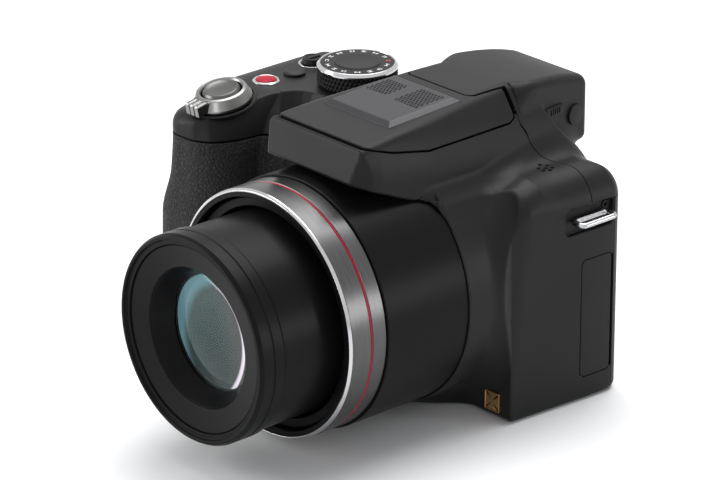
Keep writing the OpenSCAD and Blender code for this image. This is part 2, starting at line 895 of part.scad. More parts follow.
module zoom_motor() {
  color(steel) {
    y_cyl(motor_x, wall + seat + motor_r, motor_r, -11, 7);
    y_cyl(motor_x, wall + seat + motor_r, 1, 6.5, 9.5);
  }
}

cap_r = 4.3;

cap_h = 27;
cap_y = -6.4;

module flash_capacitor() {
  color("navy") translate([x_r - wall - cap_r - 1.4, cap_y, wall + seat]) cylinder(h = cap_h, r = cap_r);
}

speaker_t = 3;

module speaker() {
  color("dimgray") translate([speaker_at[0], speaker_at[1], deck_h - wall - seat - speaker_t])
    cylinder(h = speaker_t, r = speaker_r);
}

// Battery case, battery and memory card inside the grip
case_low = wall + 3.2;

module battery_case() {
  color("dimgray") difference() {
    intersection() {
      body_block(side_in + fit, wall + fit);
      block([x_l, bay_y0 - case_t, case_low], [grip_x, bay_y1 + case_t, bay_top + case_t]);
    }
    block([bay_x0, bay_y0, 0], [battery_x1, bay_y1, bay_top]);
    block([card_x - fit, card_y0, 0], [card_x + card_t + fit, bay_y1, card_top]);
  }
}

module battery() {
  color("gray") block([bay_x0 + fit, bay_y0 + fit, hatch_t + seat],
    [battery_x1 - fit, bay_y1 - fit, bay_top - seat]);
}

module memory_card() {
  color("midnightblue") block([card_x, card_y0 + fit, hatch_t + seat + 1],
    [card_x + card_t, bay_y1 - fit, card_top - seat]);
}

module display_panel() {
  color("gray") block([window_x + 1, panel_y1 - panel_t, window_z + 1],
    [window_x + window_w - 1, panel_y1, window_z + window_h - 1]);
}

module display_window() {
  color([0.05, 0.05, 0.07]) block([window_x, rear_in, window_z],
    [window_x + window_w, y_r + window_proud, window_z + window_h]);
}

module finder_tube() {
  color("dimgray") difference() {
    block([-tube_hw, finder_root_y, tube_low], [tube_hw, finder_y - wall - 0.2, tube_top]);
    block([-tube_hw + tube_t, finder_root_y + 2, tube_low + tube_t],
      [tube_hw - tube_t, finder_y, tube_top - tube_t]);
  }
}

module eyepiece_lens() {
  color(glass_green) block([-eye_hw + fit, finder_y - wall - 0.2, eye_low + fit],
    [eye_hw - fit, finder_y - eye_inset, eye_high - fit]);
}

// Eyecup: a soft frame round the eyepiece
cup_d = 2.6;
cup_rim = 2.4;

module eyecup() {
  color(rubber_black) along_y(finder_y, finder_y + cup_d) difference() {
    rounded(-eye_hw - cup_rim, eye_low - 1.6, eye_hw + cup_rim, eye_high + 1.2, 2.5);
    rounded(-eye_hw, eye_low, eye_hw, eye_high, 1.5);
  }
}

module strap_lug_right() {
  color(steel) translate([x_r, lug_right_at[0], lug_right_at[1]]) linear_extrude(lug_t) lug_plan();
}

module strap_lug_left() {
  color(steel) translate([lug_left_x, lug_left_at[0] + lug_len, lug_left_at[1]]) rotate(180)
    linear_extrude(lug_t) lug_plan();
}

// Bare badge plate at the lower front corner
badge_size = 5.4;
badge_at = [24.3, 1.9];
badge_t = 0.6;

module badge_outline(g) {
  end = badge_at + [badge_size, badge_size];
  rounded(badge_at[0] - g, badge_at[1] - g, end[0] + g, end[1] + g, 0.5);
}

module badge_space(g) {
  along_y(y_f - 8, y_f + badge_t + g) badge_outline(g);
}

module badge_plate() {
  color([0.6, 0.45, 0.28]) along_y(y_f - 0.1, y_f + badge_t) badge_outline(0);
}

// Terminal block behind the door, with two sockets
block_d = 5.6;
block_in = 1.5;
socket_h = 10;
socket_gap = 4;
socket_d = 4;

module terminal_block() {
  color("dimgray") difference() {
    block([x_r - wall - block_d, door_y + block_in, door_low + block_in],
      [x_r - wall - seat, door_edge_y - 1.2, door_high - block_in]);
    for (z = [door_low + socket_gap, door_low + 2 * socket_gap + socket_h])
      block([x_r - wall - socket_d, door_y + 3.2, z], [x_r, door_y + 6.4, z + socket_h]);
  }
}

// Pins of the flash lid, the terminal door and the battery door
pin_mid = 0.1;
pin_half = 2.1;
pin_end = 1.2;

module hinge_pins() {
  color(steel) {
    for (s = [-1, 1]) x_cyl(-hinge_y, hinge_h, pin_r, s * panel_hw + pin_mid * s - pin_half,
      s * panel_hw + pin_mid * s + pin_half);
    translate([door_hinge[0], door_hinge[1], door_low - pin_end])
      cylinder(h = door_high - door_low + 2 * pin_end, r = door_pin_r);
    translate([hatch_hinge[0], hatch_y0 - pin_end, hatch_hinge[1]]) rotate([-90, 0, 0])
      cylinder(h = hatch_y1 - hatch_y0 + 2 * pin_end, r = hatch_pin_r);
  }
}

module screws() {
  color(steel) for (p = screw_places) translate([p[0], p[1], screw_inset]) {
    cylinder(h = screw_head_h, r = screw_head_r);
    cylinder(h = wall + 1.6, r = screw_r);
  }
}

module record_rim() {
  color(silver) translate([record_at[0], record_at[1], deck_h - rim_h]) difference() {
    cylinder(h = 1, r = record_r + rim_w);
    translate([0, 0, -1]) cylinder(h = 3, r = record_r + fit);
  }
}

// Front zoom barrel with its ring, name ring and lens
ring_len = 5.6;
front_tube_back = 44;
front_tube_t = 1.7;
glass_seat_y = front_ring_y - 8;
filter_lip = 0.8;
name_r = filter_r - filter_lip - fit;

module zoom_front_barrel() {
  color(charcoal) difference() {
    lens_cyl(front_tube_back, front_ring_y - ring_len, front_tube_r, front_tube_r);
    lens_cyl(front_tube_back - 1, front_ring_y, front_tube_r - front_tube_t, front_tube_r - front_tube_t);
  }
}

module front_ring() {
  back = front_ring_y - ring_len;
  color(black) translate([0, -back, axis_h]) rotate([90, 0, 0]) rotate_extrude() polygon([
    [filter_r - filter_lip, 0], [front_ring_r - 0.3, 0], [front_ring_r, 0.4], [front_ring_r, ring_len - 1.2],
    [front_ring_r - 1, ring_len], [filter_r, ring_len], [filter_r, ring_len - filter_len],
    [filter_r - filter_lip, ring_len - filter_len]
  ]);
}

name_h = 4;
name_low = 2.2;
name_lip = 0.6;

module name_ring() {
  color(black) translate([0, -glass_seat_y, axis_h]) rotate([90, 0, 0]) rotate_extrude() polygon([
    [front_glass_r, 0], [name_r, 0], [name_r, name_h], [front_glass_r + name_lip, name_low + 0.4],
    [front_glass_r, name_low]
  ]);
}

// The glass rises from its edge by a circular arc of half angle bulge
bulge = 18;
bulge_h = 2.6;
edge_h = 0.4;
seat_r = front_tube_r - front_tube_t - fit;
lens_back = 4;

module front_lens() {
  glass_r = front_glass_r - fit;
  dome = [for (i = [0:6]) let (a = bulge * (1 - i / 6))
    [glass_r * sin(a) / sin(bulge), edge_h + bulge_h * (cos(a) - cos(bulge)) / (1 - cos(bulge))]];
  color(glass_green) translate([0, -glass_seat_y, axis_h]) rotate([90, 0, 0]) rotate_extrude()
    polygon(concat([[0, -lens_back], [seat_r, -lens_back], [seat_r, 0], [glass_r, 0]], dome));
}

// Rear zoom barrel with the variator cell at its back
rear_tube_front = barrel_y + trim_len - 2;
rear_tube_back = 28.5;
cell_t = 2.5;

module zoom_rear_barrel() {
  color(black) difference() {
    lens_cyl(rear_tube_back, rear_tube_front, rear_tube_r, rear_tube_r);
    lens_cyl(rear_tube_back + cell_t, rear_tube_front + 1, front_tube_r + tube_gap, front_tube_r + tube_gap);
    lens_cyl(rear_tube_back - 1, rear_tube_front, variator_r, variator_r);
  }
}

variator_r = 12;

module variator_lens() {
  r = variator_r - running;
  color(glass_green) lens_cyl(rear_tube_back, rear_tube_back + cell_t, r, r);
}

shutter_stem = 3;
shutter_low = 1.2;
shutter_high = 3.4;
shutter_dome = 0.9;

module shutter_button() {
  color(silver) on_grip_deck() {
    translate([0, 0, -shutter_stem]) cylinder(h = shutter_stem + shutter_high, r = shutter_r - 0.4);
    translate([0, 0, shutter_low]) cylinder(h = shutter_high - shutter_low, r = shutter_r - 0.2);
    translate([0, 0, shutter_high]) cylinder(h = shutter_dome, r1 = shutter_r - 0.2, r2 = shutter_r - 1.6);
  }
}

// Zoom lever: a conical ring round the shutter button with a finger tab at the front
lever_h = 3.4;
tab_w = 5.2;
tab_out = 2.6;

module zoom_lever() {
  color(silver) on_grip_deck() difference() {
    union() {
      translate([0, 0, seat]) cylinder(h = lever_h, r1 = lever_r, r2 = lever_r - 1.3);
      translate([0, 0, -2.6]) cylinder(h = 3.6, r = lever_r - lever_wall);
      block([-tab_w / 2, -lever_r - tab_out, seat], [tab_w / 2, -lever_r + 2, lever_h + 0.5]);
    }
    translate([0, 0, -far / 2]) cylinder(h = far, r = shutter_r);
  }
}

module mode_dial() {
  color(charcoal) translate([dial_at[0], dial_at[1], deck_h]) {
    translate([0, 0, seat]) cylinder(h = dial_h - 1.4, r = dial_r);
    translate([0, 0, seat + dial_h - 1.4]) cylinder(h = 1.1, r1 = dial_r, r2 = dial_r - 1);
    translate([0, 0, -wall - 2]) cylinder(h = wall + 3, r = dial_shaft_r);
  }
}

// Round deck button with a flange under the deck
module deck_button(at, r, proud) {
  translate([at[0], at[1], deck_h - wall - 1]) {
    cylinder(h = wall + 1 + proud, r = r);
    cylinder(h = 0.8, r = r + 0.8);
  }
}

module record_button() {
  color("crimson") deck_button(record_at, record_r, 0.6);
}

module burst_button() {
  color(black) deck_button(burst_at, burst_r, 0.9);
}

module power_switch() {
  color(black) translate([power_at[0], power_at[1], deck_h]) {
    translate([0, 0, seat]) cylinder(h = 1.5, r1 = 3, r2 = 2.6);
    translate([-power_slot[0] / 2 + fit, -1.4, -wall - 0.8]) cube([power_slot[0] - 2 * fit, 2.8, wall + 1.4]);
  }
}

// Flash lid: the hump's roof with two arms, hinge eyes and the inner wall of the arms
eye_r = lid_end_y + hinge_y - 0.3;
eye_t = 1.8;

module flash_lid() {
  color(black) difference() {
    union() {
      difference() {
        intersection() {
          hump(0);
          along_x(-far / 2, far / 2) lid_outline(0);
        }
        hump(lid_t);
        panel_zone(lid_gap);
        barrel_space();
      }
      for (s = [-1, 1]) intersection() {
        hump(0);
        x_cyl(-hinge_y, hinge_h, eye_r, s * (panel_hw + lid_gap + eye_t / 2) - eye_t / 2,
          s * (panel_hw + lid_gap + eye_t / 2) + eye_t / 2);
      }
    }
    for (s = [-1, 1]) x_cyl(-hinge_y, hinge_h, pin_r + running, s * panel_hw - 4, s * panel_hw + 4);
    difference() {
      block([-far / 2, lid_end_y - lid_round, hump_h - lid_round], [far / 2, far, far]);
      x_cyl(lid_end_y - lid_round, hump_h - lid_round, lid_round, -far, far);
    }
  }
}

// Microphone panel on the lid
mic_hw = 11.7;
mic_y0 = lid_mid_y - 1.9;
mic_y1 = panel_y + 3.4;

module mic_panel() {
  color(slate) along_x(-mic_hw, mic_hw) polygon([
    [-mic_y0, hump_top(-mic_y0) + 0.01], [-mic_y1, hump_top(-mic_y1) + 0.01],
    [-mic_y1, hump_top(-mic_y1) + mic_t], [-mic_y0, hump_top(-mic_y0) + mic_t]
  ]);
}

// Flash head under the lid; its window faces forward when the lid is raised
module flash_head() {
  color("dimgray") intersection() {
    hump(lid_t);
    along_x(-head_hw, head_hw) polygon([
      [-head_front, head_high], [-head_foot, head_low], [-head_back, head_low], [-head_back, hump_h],
      [-head_front, hump_h]
    ]);
  }
}

module flash_window() {
  window_t = 0.8;
  lean = atan((head_high - head_low) / (head_front - head_foot));
  color([0.85, 0.87, 0.88, 0.7]) translate([0, -head_foot, head_low]) rotate([-lean, 0, 0])
    block([-head_hw + 1.5, -(head_front - head_foot) / cos(lean) + 1, -window_t], [head_hw - 1.5, -0.6, 0]);
}

module flash_slider() {
  color(black) on_finder_side(slider_y) {
    block([running, 0, slider_z - 0.4], [1.1, slider_len, slider_z + slider_slot[1] + 0.4]);
    block([-wall - 0.6, slider_lead + fit, slider_z],
      [0.3, slider_lead + fit + slider_slot[0], slider_z + slider_slot[1]]);
  }
}

module diopter_wheel() {
  color(charcoal) on_finder_side(diopter_at[0]) {
    x_cyl(0, diopter_at[1], diopter_r, -1.1, 0.9);
    x_cyl(0, diopter_at[1], diopter_shaft_r, -2.4, 0);
  }
}

module terminal_door() {
  color(black) difference() {
    union() {
      block([x_r - door_t, door_hinge[1], door_low + door_gap],
        [x_r, door_edge_y - door_gap, door_high - door_gap]);
      translate([door_hinge[0], door_hinge[1], door_low + door_gap])
        cylinder(h = door_high - door_low - 2 * door_gap, r = door_end_r - running);
    }
    translate([door_hinge[0], door_hinge[1], 0]) cylinder(h = far, r = door_pin_r + running);
    y_cyl(x_r + 0.6, (door_low + door_high) / 2, 1.4, door_edge_y - 2.5, door_edge_y);
  }
}

module battery_door() {
  color(black) difference() {
    union() {
      block([hatch_x0 + door_gap, hatch_y0 + door_gap, 0], [hatch_hinge[0], hatch_y1 - door_gap, hatch_t]);
      translate([hatch_hinge[0], hatch_y0 + door_gap, hatch_hinge[1]]) rotate([-90, 0, 0])
        cylinder(h = hatch_y1 - hatch_y0 - 2 * door_gap, r = hatch_end_r - running);
    }
    translate([hatch_hinge[0], hatch_y0 - 2, hatch_hinge[1]]) rotate([-90, 0, 0])
      cylinder(h = far / 2, r = hatch_pin_r + running);
    block([latch_x, latch_y, -1],
      [latch_x + latch_len + latch_travel + 2 * fit, latch_y + latch_w + 2 * fit, hatch_t + 1]);
  }
}

latch_x = hatch_x0 + 2;
latch_y = -11;
latch_len = 4.5;
latch_w = 7;
latch_travel = 2.4;
latch_rib = 1.15;

module battery_latch() {
  color(charcoal) difference() {
    block([latch_x + fit, latch_y + fit, 0.2], [latch_x + fit + latch_len, latch_y + fit + latch_w, hatch_t]);
    for (i = [1:3]) y_cyl(latch_x + fit + i * latch_rib, 0, 0.5, latch_y - 1, latch_y + latch_w + 2);
  }
}

module thumb_dial() {
  color(black) translate([thumb_at[0], y_r + thumb_proud - thumb_r, thumb_at[1]]) {
    cylinder(h = thumb_t, r = thumb_r);
    translate([0, 0, -1.2]) cylinder(h = thumb_t + 2.4, r = 1.2);
  }
}

key_flange = 0.5;

// Round rear key with a flange behind the wall
module rear_key(at, r, proud) {
  y_cyl(at[0], at[1], r, rear_in - 1, y_r + proud);
  y_cyl(at[0], at[1], r + key_flange, rear_in - 1, rear_in - 0.2);
}

module play_button() {
  color(black) rear_key(play_at, key_r, 0.7);
}

module lock_button() {
  color(black) rear_key(lock_at, top_key_r, 0.7);
}

module finder_button() {
  color(black) rear_key(finder_at, top_key_r, 0.7);
}

module menu_button() {
  color(black) rear_key(menu_at, key_r, 0.7);
}

module cursor_pad() {
  color(black) difference() {
    rear_key(pad_at, pad_r, 0.9);
    y_cyl(pad_at[0], pad_at[1], set_r + fit, 0, y_r + 5);
  }
}

module set_button() {
  color(black) y_cyl(pad_at[0], pad_at[1], set_r, rear_in - 2, y_r + 1.1);
}

front_cover();
rear_cover();
top_cover();
grip_rubber();
chassis();
tripod_socket();
lens_barrel();
trim_ring();
red_line();
lens_base();
rear_lens();
sensor_unit();
main_board();
zoom_motor();
flash_capacitor();
speaker();
battery_case();
battery();
memory_card();
display_panel();
display_window();
finder_tube();
eyepiece_lens();
eyecup();
strap_lug_right();
strap_lug_left();
badge_plate();
terminal_block();
hinge_pins();
screws();
record_rim();
zoom_front_barrel();
front_ring();
name_ring();
front_lens();
zoom_rear_barrel();
variator_lens();
focus_group();
shutter_button();
zoom_lever();
mode_dial();
record_button();
burst_button();
power_switch();
flash_lid();
mic_panel();
flash_head();
flash_window();
flash_slider();
diopter_wheel();
terminal_door();
battery_door();
battery_latch();
thumb_dial();
play_button();
lock_button();
finder_button();
menu_button();
cursor_pad();
set_button();
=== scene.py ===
"""Looks of a bridge camera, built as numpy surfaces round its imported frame.

Lengths are millimetres in the frame's axes: X to the strap side, -Y out of the lens, Z up.
"""

import logging
import math
from dataclasses import dataclass, field
from enum import Enum
from typing import Callable, Sequence

import bpy
import numpy as np
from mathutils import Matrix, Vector


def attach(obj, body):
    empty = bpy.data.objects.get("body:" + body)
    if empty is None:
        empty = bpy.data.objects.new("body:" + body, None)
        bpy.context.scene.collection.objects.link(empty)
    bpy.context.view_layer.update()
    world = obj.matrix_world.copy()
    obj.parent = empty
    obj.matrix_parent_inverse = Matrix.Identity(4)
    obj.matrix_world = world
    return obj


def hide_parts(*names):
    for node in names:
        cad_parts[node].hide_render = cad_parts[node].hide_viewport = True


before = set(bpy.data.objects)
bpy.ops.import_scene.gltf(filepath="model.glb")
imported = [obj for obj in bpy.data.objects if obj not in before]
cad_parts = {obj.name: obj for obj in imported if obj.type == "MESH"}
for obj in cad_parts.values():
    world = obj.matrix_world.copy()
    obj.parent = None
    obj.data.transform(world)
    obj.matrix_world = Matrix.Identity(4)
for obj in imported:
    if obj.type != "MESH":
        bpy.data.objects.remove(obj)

LOG = logging.getLogger("bridge_camera")
MM = 0.001
Array = np.ndarray
Field = Callable[[Array, Array, Array], Array]
Colour = tuple[float, float, float]
Plane = tuple[tuple[float, float, float], tuple[float, float, float]]


class Slot(Enum):
    """Material slots of the record."""

    BLACK = "black_plastic"
    DARK = "dark_plastic"
    LENS = "lens_black"
    RUBBER = "grip_rubber"
    TRIM = "silver_trim"
    SATIN = "satin_silver"
    CHROME = "bright_chrome"
    RED = "signal_red"
    STEEL = "steel"
    BRONZE = "bronze"
    GUNMETAL = "gunmetal"
    GLASS = "coated_glass"
    CLEAR = "clear_cover"
    SCREEN = "screen_glass"
    CIRCUIT = "circuit"
    CELL = "cell"


# Shading


class Flow:
    """One output of a shader node, with arithmetic that adds the nodes it needs."""

    def __init__(self, tree: "Tree", socket: bpy.types.NodeSocket) -> None:
        """Keep the tree and the output socket."""
        self.tree = tree
        self.socket = socket

    def _math(self, operation: str, *values: "Flow | float") -> "Flow":
        """Add a Math node.

        Args:
            operation: the node's operation.
            values: its inputs in order, as flows or numbers.

        Returns:
            The node's output.
        """
        return self.tree.node("ShaderNodeMath", {"operation": operation}, dict(enumerate(values)))

    def __add__(self, other: "Flow | float") -> "Flow":
        """Return the sum."""
        return self._math("ADD", self, other)

    def __sub__(self, other: "Flow | float") -> "Flow":
        """Return the difference."""
        return self._math("SUBTRACT", self, other)

    def __rsub__(self, other: float) -> "Flow":
        """Return a number less this flow."""
        return self._math("SUBTRACT", other, self)

    def __mul__(self, other: "Flow | float") -> "Flow":
        """Return the product."""
        return self._math("MULTIPLY", self, other)

    def __truediv__(self, other: "Flow | float") -> "Flow":
        """Return the quotient."""
        return self._math("DIVIDE", self, other)

    def __pow__(self, other: float) -> "Flow":
        """Return the power."""
        return self._math("POWER", self, other)

    __radd__ = __add__
    __rmul__ = __mul__

    def angle(self, other: "Flow | float") -> "Flow":
        """Return the angle of the vector (other, self)."""
        return self._math("ARCTAN2", self, other)

    def ramp(self, low: float, high: float, to: tuple[float, float] = (0.0, 1.0)) -> "Flow":
        """Map a range smoothly to another.

        Args:
            low: the value that gives the first end.
            high: the value that gives the second end.
            to: the two ends.

        Returns:
            The mapped flow, held at the ends.
        """
        inputs = {"Value": self, "From Min": low, "From Max": high, "To Min": to[0], "To Max": to[1]}
        return self.tree.node("ShaderNodeMapRange", {"interpolation_type": "SMOOTHSTEP"}, inputs)

    def blend(self, first: "Flow | Colour", second: "Flow | Colour") -> "Flow":
        """Mix two colours by this flow.

        Args:
            first: the colour at 0.
            second: the colour at 1.

        Returns:
            The mixed colour.
        """
        ends = [c if isinstance(c, Flow) else (*c, 1.0) for c in (first, second)]
        return self.tree.node("ShaderNodeMix", {"data_type": "RGBA"}, {0: self, 6: ends[0], 7: ends[1]}, 2)


class Tree:
    """Node tree of one material."""

    def __init__(self, name: str) -> None:
        """Start an empty material of that name."""
        self.material = bpy.data.materials.new(name)
        self.material.use_nodes = True
        self.nodes = self.material.node_tree.nodes
        self.links = self.material.node_tree.links
        self.nodes.clear()

    def node(self, kind: str, settings: dict | None = None, inputs: dict | None = None,
             output: int | str = 0) -> Flow:
        """Add a node.

        Args:
            kind: the node's type.
            settings: properties, set before the inputs.
            inputs: flows or constants by socket name or index.
            output: the output wanted.

        Returns:
            That output.
        """
        made = self.nodes.new(kind)
        for key, value in (settings or {}).items():
            setattr(made, key, value)
        for key, value in (inputs or {}).items():
            if isinstance(value, Flow):
                self.links.new(value.socket, made.inputs[key])
            else:
                made.inputs[key].default_value = value
        return Flow(self, made.outputs[output])

    def place(self) -> Flow:
        """Return the point's place on the object."""
        return self.node("ShaderNodeTexCoord", output="Object")

    def parts(self, vector: Flow) -> tuple[Flow, Flow, Flow]:
        """Split a vector.

        Args:
            vector: the vector.

        Returns:
            Its three numbers.
        """
        split = self.nodes.new("ShaderNodeSeparateXYZ")
        self.links.new(vector.socket, split.inputs[0])
        return tuple(Flow(self, socket) for socket in split.outputs)

    def joined(self, x: "Flow | float", y: "Flow | float", z: "Flow | float") -> Flow:
        """Return the vector of three numbers."""
        return self.node("ShaderNodeCombineXYZ", inputs={0: x, 1: y, 2: z})

    def noise(self, vector: Flow, per_mm: float, detail: float = 2.0, rough: float = 0.5) -> Flow:
        """Add a noise texture.

        Args:
            vector: where it is looked up.
            per_mm: its frequency per millimetre.
            detail: the number of finer layers.
            rough: the weight of the finer layers.

        Returns:
            Its value, about 0.5 on average.
        """
        inputs = {"Vector": vector, "Scale": per_mm / MM, "Detail": detail, "Roughness": rough}
        return self.node("ShaderNodeTexNoise", inputs=inputs)

    def bump(self, height: Flow, depth_mm: float, strength: float = 1.0) -> Flow:
        """Turn a height into a bent normal.

        Args:
            height: the height, from 0 to 1.
            depth_mm: what a height of 1 stands for.
            strength: the share of the bend that is kept.

        Returns:
            The normal.
        """
        inputs = {"Height": height, "Distance": depth_mm * MM, "Strength": strength}
        return self.node("ShaderNodeBump", inputs=inputs)

    def close(self, shader: Flow) -> bpy.types.Material:
        """Join the shader to the output.

        Args:
            shader: the surface.

        Returns:
            The finished material.
        """
        out = self.nodes.new("ShaderNodeOutputMaterial")
        self.links.new(shader.socket, out.inputs["Surface"])
        return self.material

    def surface(self, **inputs: "Flow | float | tuple") -> Flow:
        """Add the main surface shader; underscores in names stand for spaces."""
        named = {key.replace("_", " "): value for key, value in inputs.items()}
        return self.node("ShaderNodeBsdfPrincipled", inputs=named)


@dataclass(frozen=True)
class Finish:
    """A procedural finish."""

    name: str
    colour: Colour
    roughness: float = 0.45

    def tones(self, share: Flow, spread: float) -> Flow:
        """Vary the colour.

        Args:
            share: the flow that varies it.
            spread: how far the colour strays, as a share of itself.

        Returns:
            The varied colour.
        """
        low = tuple(c * (1 - spread) for c in self.colour)
        high = tuple(min(1.0, c * (1 + spread)) for c in self.colour)
        return share.blend(low, high)

    def make(self) -> bpy.types.Material:
        """Build the material."""
        raise NotImplementedError


@dataclass(frozen=True)
class Moulded(Finish):
    """Moulded plastic: a fine spark-eroded grain over a faint cloud of tone."""

    grain: float = 3.2
    depth: float = 0.012
    coat: float = 0.0
    specular: float = 0.5

    def make(self) -> bpy.types.Material:
        """Build the material."""
        tree = Tree(self.name)
        place = tree.place()
        cloud = tree.noise(place, 0.05, 3.0)
        grain = tree.noise(place, self.grain, 3.0, 0.6)
        rough = cloud.ramp(0.3, 0.7, (self.roughness - 0.03, self.roughness + 0.03)) + (grain - 0.5) * 0.12
        shader = tree.surface(Base_Color=self.tones(cloud.ramp(0.3, 0.7), 0.1), Roughness=rough,
                              Normal=tree.bump(grain, self.depth), Coat_Weight=self.coat,
                              Coat_Roughness=0.2, Specular_IOR_Level=self.specular)
        return tree.close(shader)


@dataclass(frozen=True)
class Leather(Finish):
    """Leather-grained rubber: rounded cells between creases, with pores."""

    cell: float = 1.0
    depth: float = 0.1

    def make(self) -> bpy.types.Material:
        """Build the material."""
        tree = Tree(self.name)
        place = tree.place()
        bend = tree.node("ShaderNodeTexNoise", inputs={"Vector": place, "Scale": 0.5 / MM, "Detail": 2.0},
                         output="Color")
        shift = tree.node("ShaderNodeVectorMath", {"operation": "SCALE"}, {0: bend, "Scale": 1.1 * MM})
        moved = tree.node("ShaderNodeVectorMath", {"operation": "ADD"}, {0: place, 1: shift})
        cells = tree.node("ShaderNodeTexVoronoi", {"feature": "DISTANCE_TO_EDGE"},
                          {"Vector": moved, "Scale": 1 / (self.cell * MM)})
        crease = cells.ramp(0.0, 0.28)
        pores = tree.noise(place, 4.0, 2.0)
        height = crease * 0.8 + pores * 0.2
        # the base colour is darker down in the creases and lighter on the cell tops: painted shade
        shader = tree.surface(Base_Color=self.tones(crease, 0.3),
                              Roughness=crease.ramp(0, 1, (self.roughness + 0.15, self.roughness)),
                              Normal=tree.bump(height, self.depth), Specular_IOR_Level=0.22)
        return tree.close(shader)


@dataclass(frozen=True)
class Turned(Finish):
    """A finish with fine lines round the lens axis."""

    axis_height: float = 33.7
    metallic: float = 0.0
    lines: float = 7.0
    depth: float = 0.006
    spread: float = 0.06
    shine: float = 0.1
    specular: float = 0.5

    def make(self) -> bpy.types.Material:
        """Build the material: the noise is looked up at the distance from the axis and along it."""
        tree = Tree(self.name)
        x, y, z = tree.parts(tree.place())
        up = z - self.axis_height * MM
        radius = (x * x + up * up) ** 0.5
        turn = up.angle(x)
        lines = tree.noise(tree.joined(radius, y, turn * (0.6 * MM)), self.lines, 2.0, 0.7)
        rough = self.roughness + (lines - 0.5) * self.shine
        shader = tree.surface(Base_Color=self.tones(lines.ramp(0.3, 0.7), self.spread), Roughness=rough,
                              Metallic=self.metallic, Normal=tree.bump(lines, self.depth),
                              Specular_IOR_Level=self.specular)
        return tree.close(shader)


@dataclass(frozen=True)
class Metal(Finish):
    """Plated or bare metal with a fine brushed or blasted grain."""

    grain: float = 2.5
    stretch: tuple[float, float, float] = (1.0, 1.0, 1.0)
    depth: float = 0.004
    metallic: float = 1.0
    shine: float = 0.12
    spread: float = 0.06

    def make(self) -> bpy.types.Material:
        """Build the material."""
        tree = Tree(self.name)
        scaled = tree.node("ShaderNodeMapping", inputs={"Vector": tree.place(), "Scale": self.stretch})
        grain = tree.noise(scaled, self.grain, 3.0, 0.6)
        rough = self.roughness + (grain - 0.5) * self.shine
        shader = tree.surface(Base_Color=self.tones(grain.ramp(0.3, 0.7), self.spread), Roughness=rough,
                              Metallic=self.metallic, Normal=tree.bump(grain, self.depth))
        return tree.close(shader)


@dataclass(frozen=True)
class Lacquer(Finish):
    """Glossy plastic or screen: even colour with a faint ripple under a clear coat."""

    coat: float = 1.0
    ripple: float = 0.25
    specular: float = 0.5

    def make(self) -> bpy.types.Material:
        """Build the material."""
        tree = Tree(self.name)
        cloud = tree.noise(tree.place(), self.ripple, 2.0)
        shader = tree.surface(Base_Color=self.tones(cloud.ramp(0.3, 0.7), 0.08),
                              Roughness=cloud.ramp(0, 1, (self.roughness - 0.03, self.roughness + 0.03)),
                              Coat_Weight=self.coat, Coat_Roughness=0.03, Normal=tree.bump(cloud, 0.01),
                              Specular_IOR_Level=self.specular)
        return tree.close(shader)


@dataclass(frozen=True)
class Pane(Finish):
    """Clear optical glass: see-through straight on, with a tinted reflection that grows to the rim."""

    reflect: float = 0.06
    rim_power: float = 4.0
    rim_share: float = 0.4

    def make(self) -> bpy.types.Material:
        """Build the material."""
        tree = Tree(self.name)
        cloud = tree.noise(tree.place(), 0.04, 1.0)
        edge = tree.node("ShaderNodeLayerWeight", inputs={"Blend": 0.5}, output="Facing")
        share = edge**self.rim_power * self.rim_share + cloud * (self.reflect * 2)
        clear = tree.node("ShaderNodeBsdfTransparent")
        gloss = tree.surface(Base_Color=self.tones(cloud.ramp(0.3, 0.7), 0.2), Metallic=1.0,
                             Roughness=self.roughness)
        return tree.close(tree.node("ShaderNodeMixShader", inputs={0: share, 1: clear, 2: gloss}))


@dataclass(frozen=True)
class Optic(Finish):
    """Coated lens group drawn on one surface: dark teal with a painted sheen across it, a cool painted
    reflection crescent at one rim and a pale painted reflection crescent at the other.
    """

    radius: float = 14.0
    axis_height: float = 33.7
    # the next two colours are painted sheen, the last two colour the painted reflections
    tint: Colour = (0.022, 0.048, 0.045)
    haze: Colour = (0.036, 0.034, 0.032)
    cool: Colour = (0.1, 0.23, 0.27)
    pale: Colour = (0.75, 0.68, 0.76)

    def make(self) -> bpy.types.Material:
        """Build the material: each crescent, a painted reflection, lies between the rim and a circle whose
        centre is shifted, and two gradients paint a sheen across the tone.
        """
        tree = Tree(self.name)
        x, _, z = tree.parts(tree.place())
        u, w = x / (self.radius * MM), (z - self.axis_height * MM) / (self.radius * MM)

        def away(right: float, up: float) -> Flow:
            """Return the distance from a point, in radii."""
            return ((u - right) * (u - right) + (w - up) * (w - up)) ** 0.5

        # painted sheen: lighter teal towards the upper left, greyer towards the right
        tone = (w * 0.8 - u * 0.5).ramp(-0.9, 0.7).blend(self.colour, self.tint)
        tone = (u + w * 0.3).ramp(-0.1, 0.6).blend(tone, self.haze)
        # painted reflection: a cool crescent round the left and upper left rim
        tone = away(0.25, -0.2).ramp(1.0, 1.2).blend(tone, self.cool)
        # painted reflection: a pale crescent at the right rim
        pale = away(-0.63, -0.27).ramp(1.18, 1.25) * away(-0.51, -0.29).ramp(1.21, 1.17)
        tone = pale.blend(tone, self.pale)
        return tree.close(tree.surface(Base_Color=tone, Roughness=self.roughness, Specular_IOR_Level=0.2))


# Surfaces


def unit(vectors: Array) -> Array:
    """Return vectors scaled to length one."""
    return vectors / np.maximum(np.linalg.norm(vectors, axis=-1, keepdims=True), 1e-12)


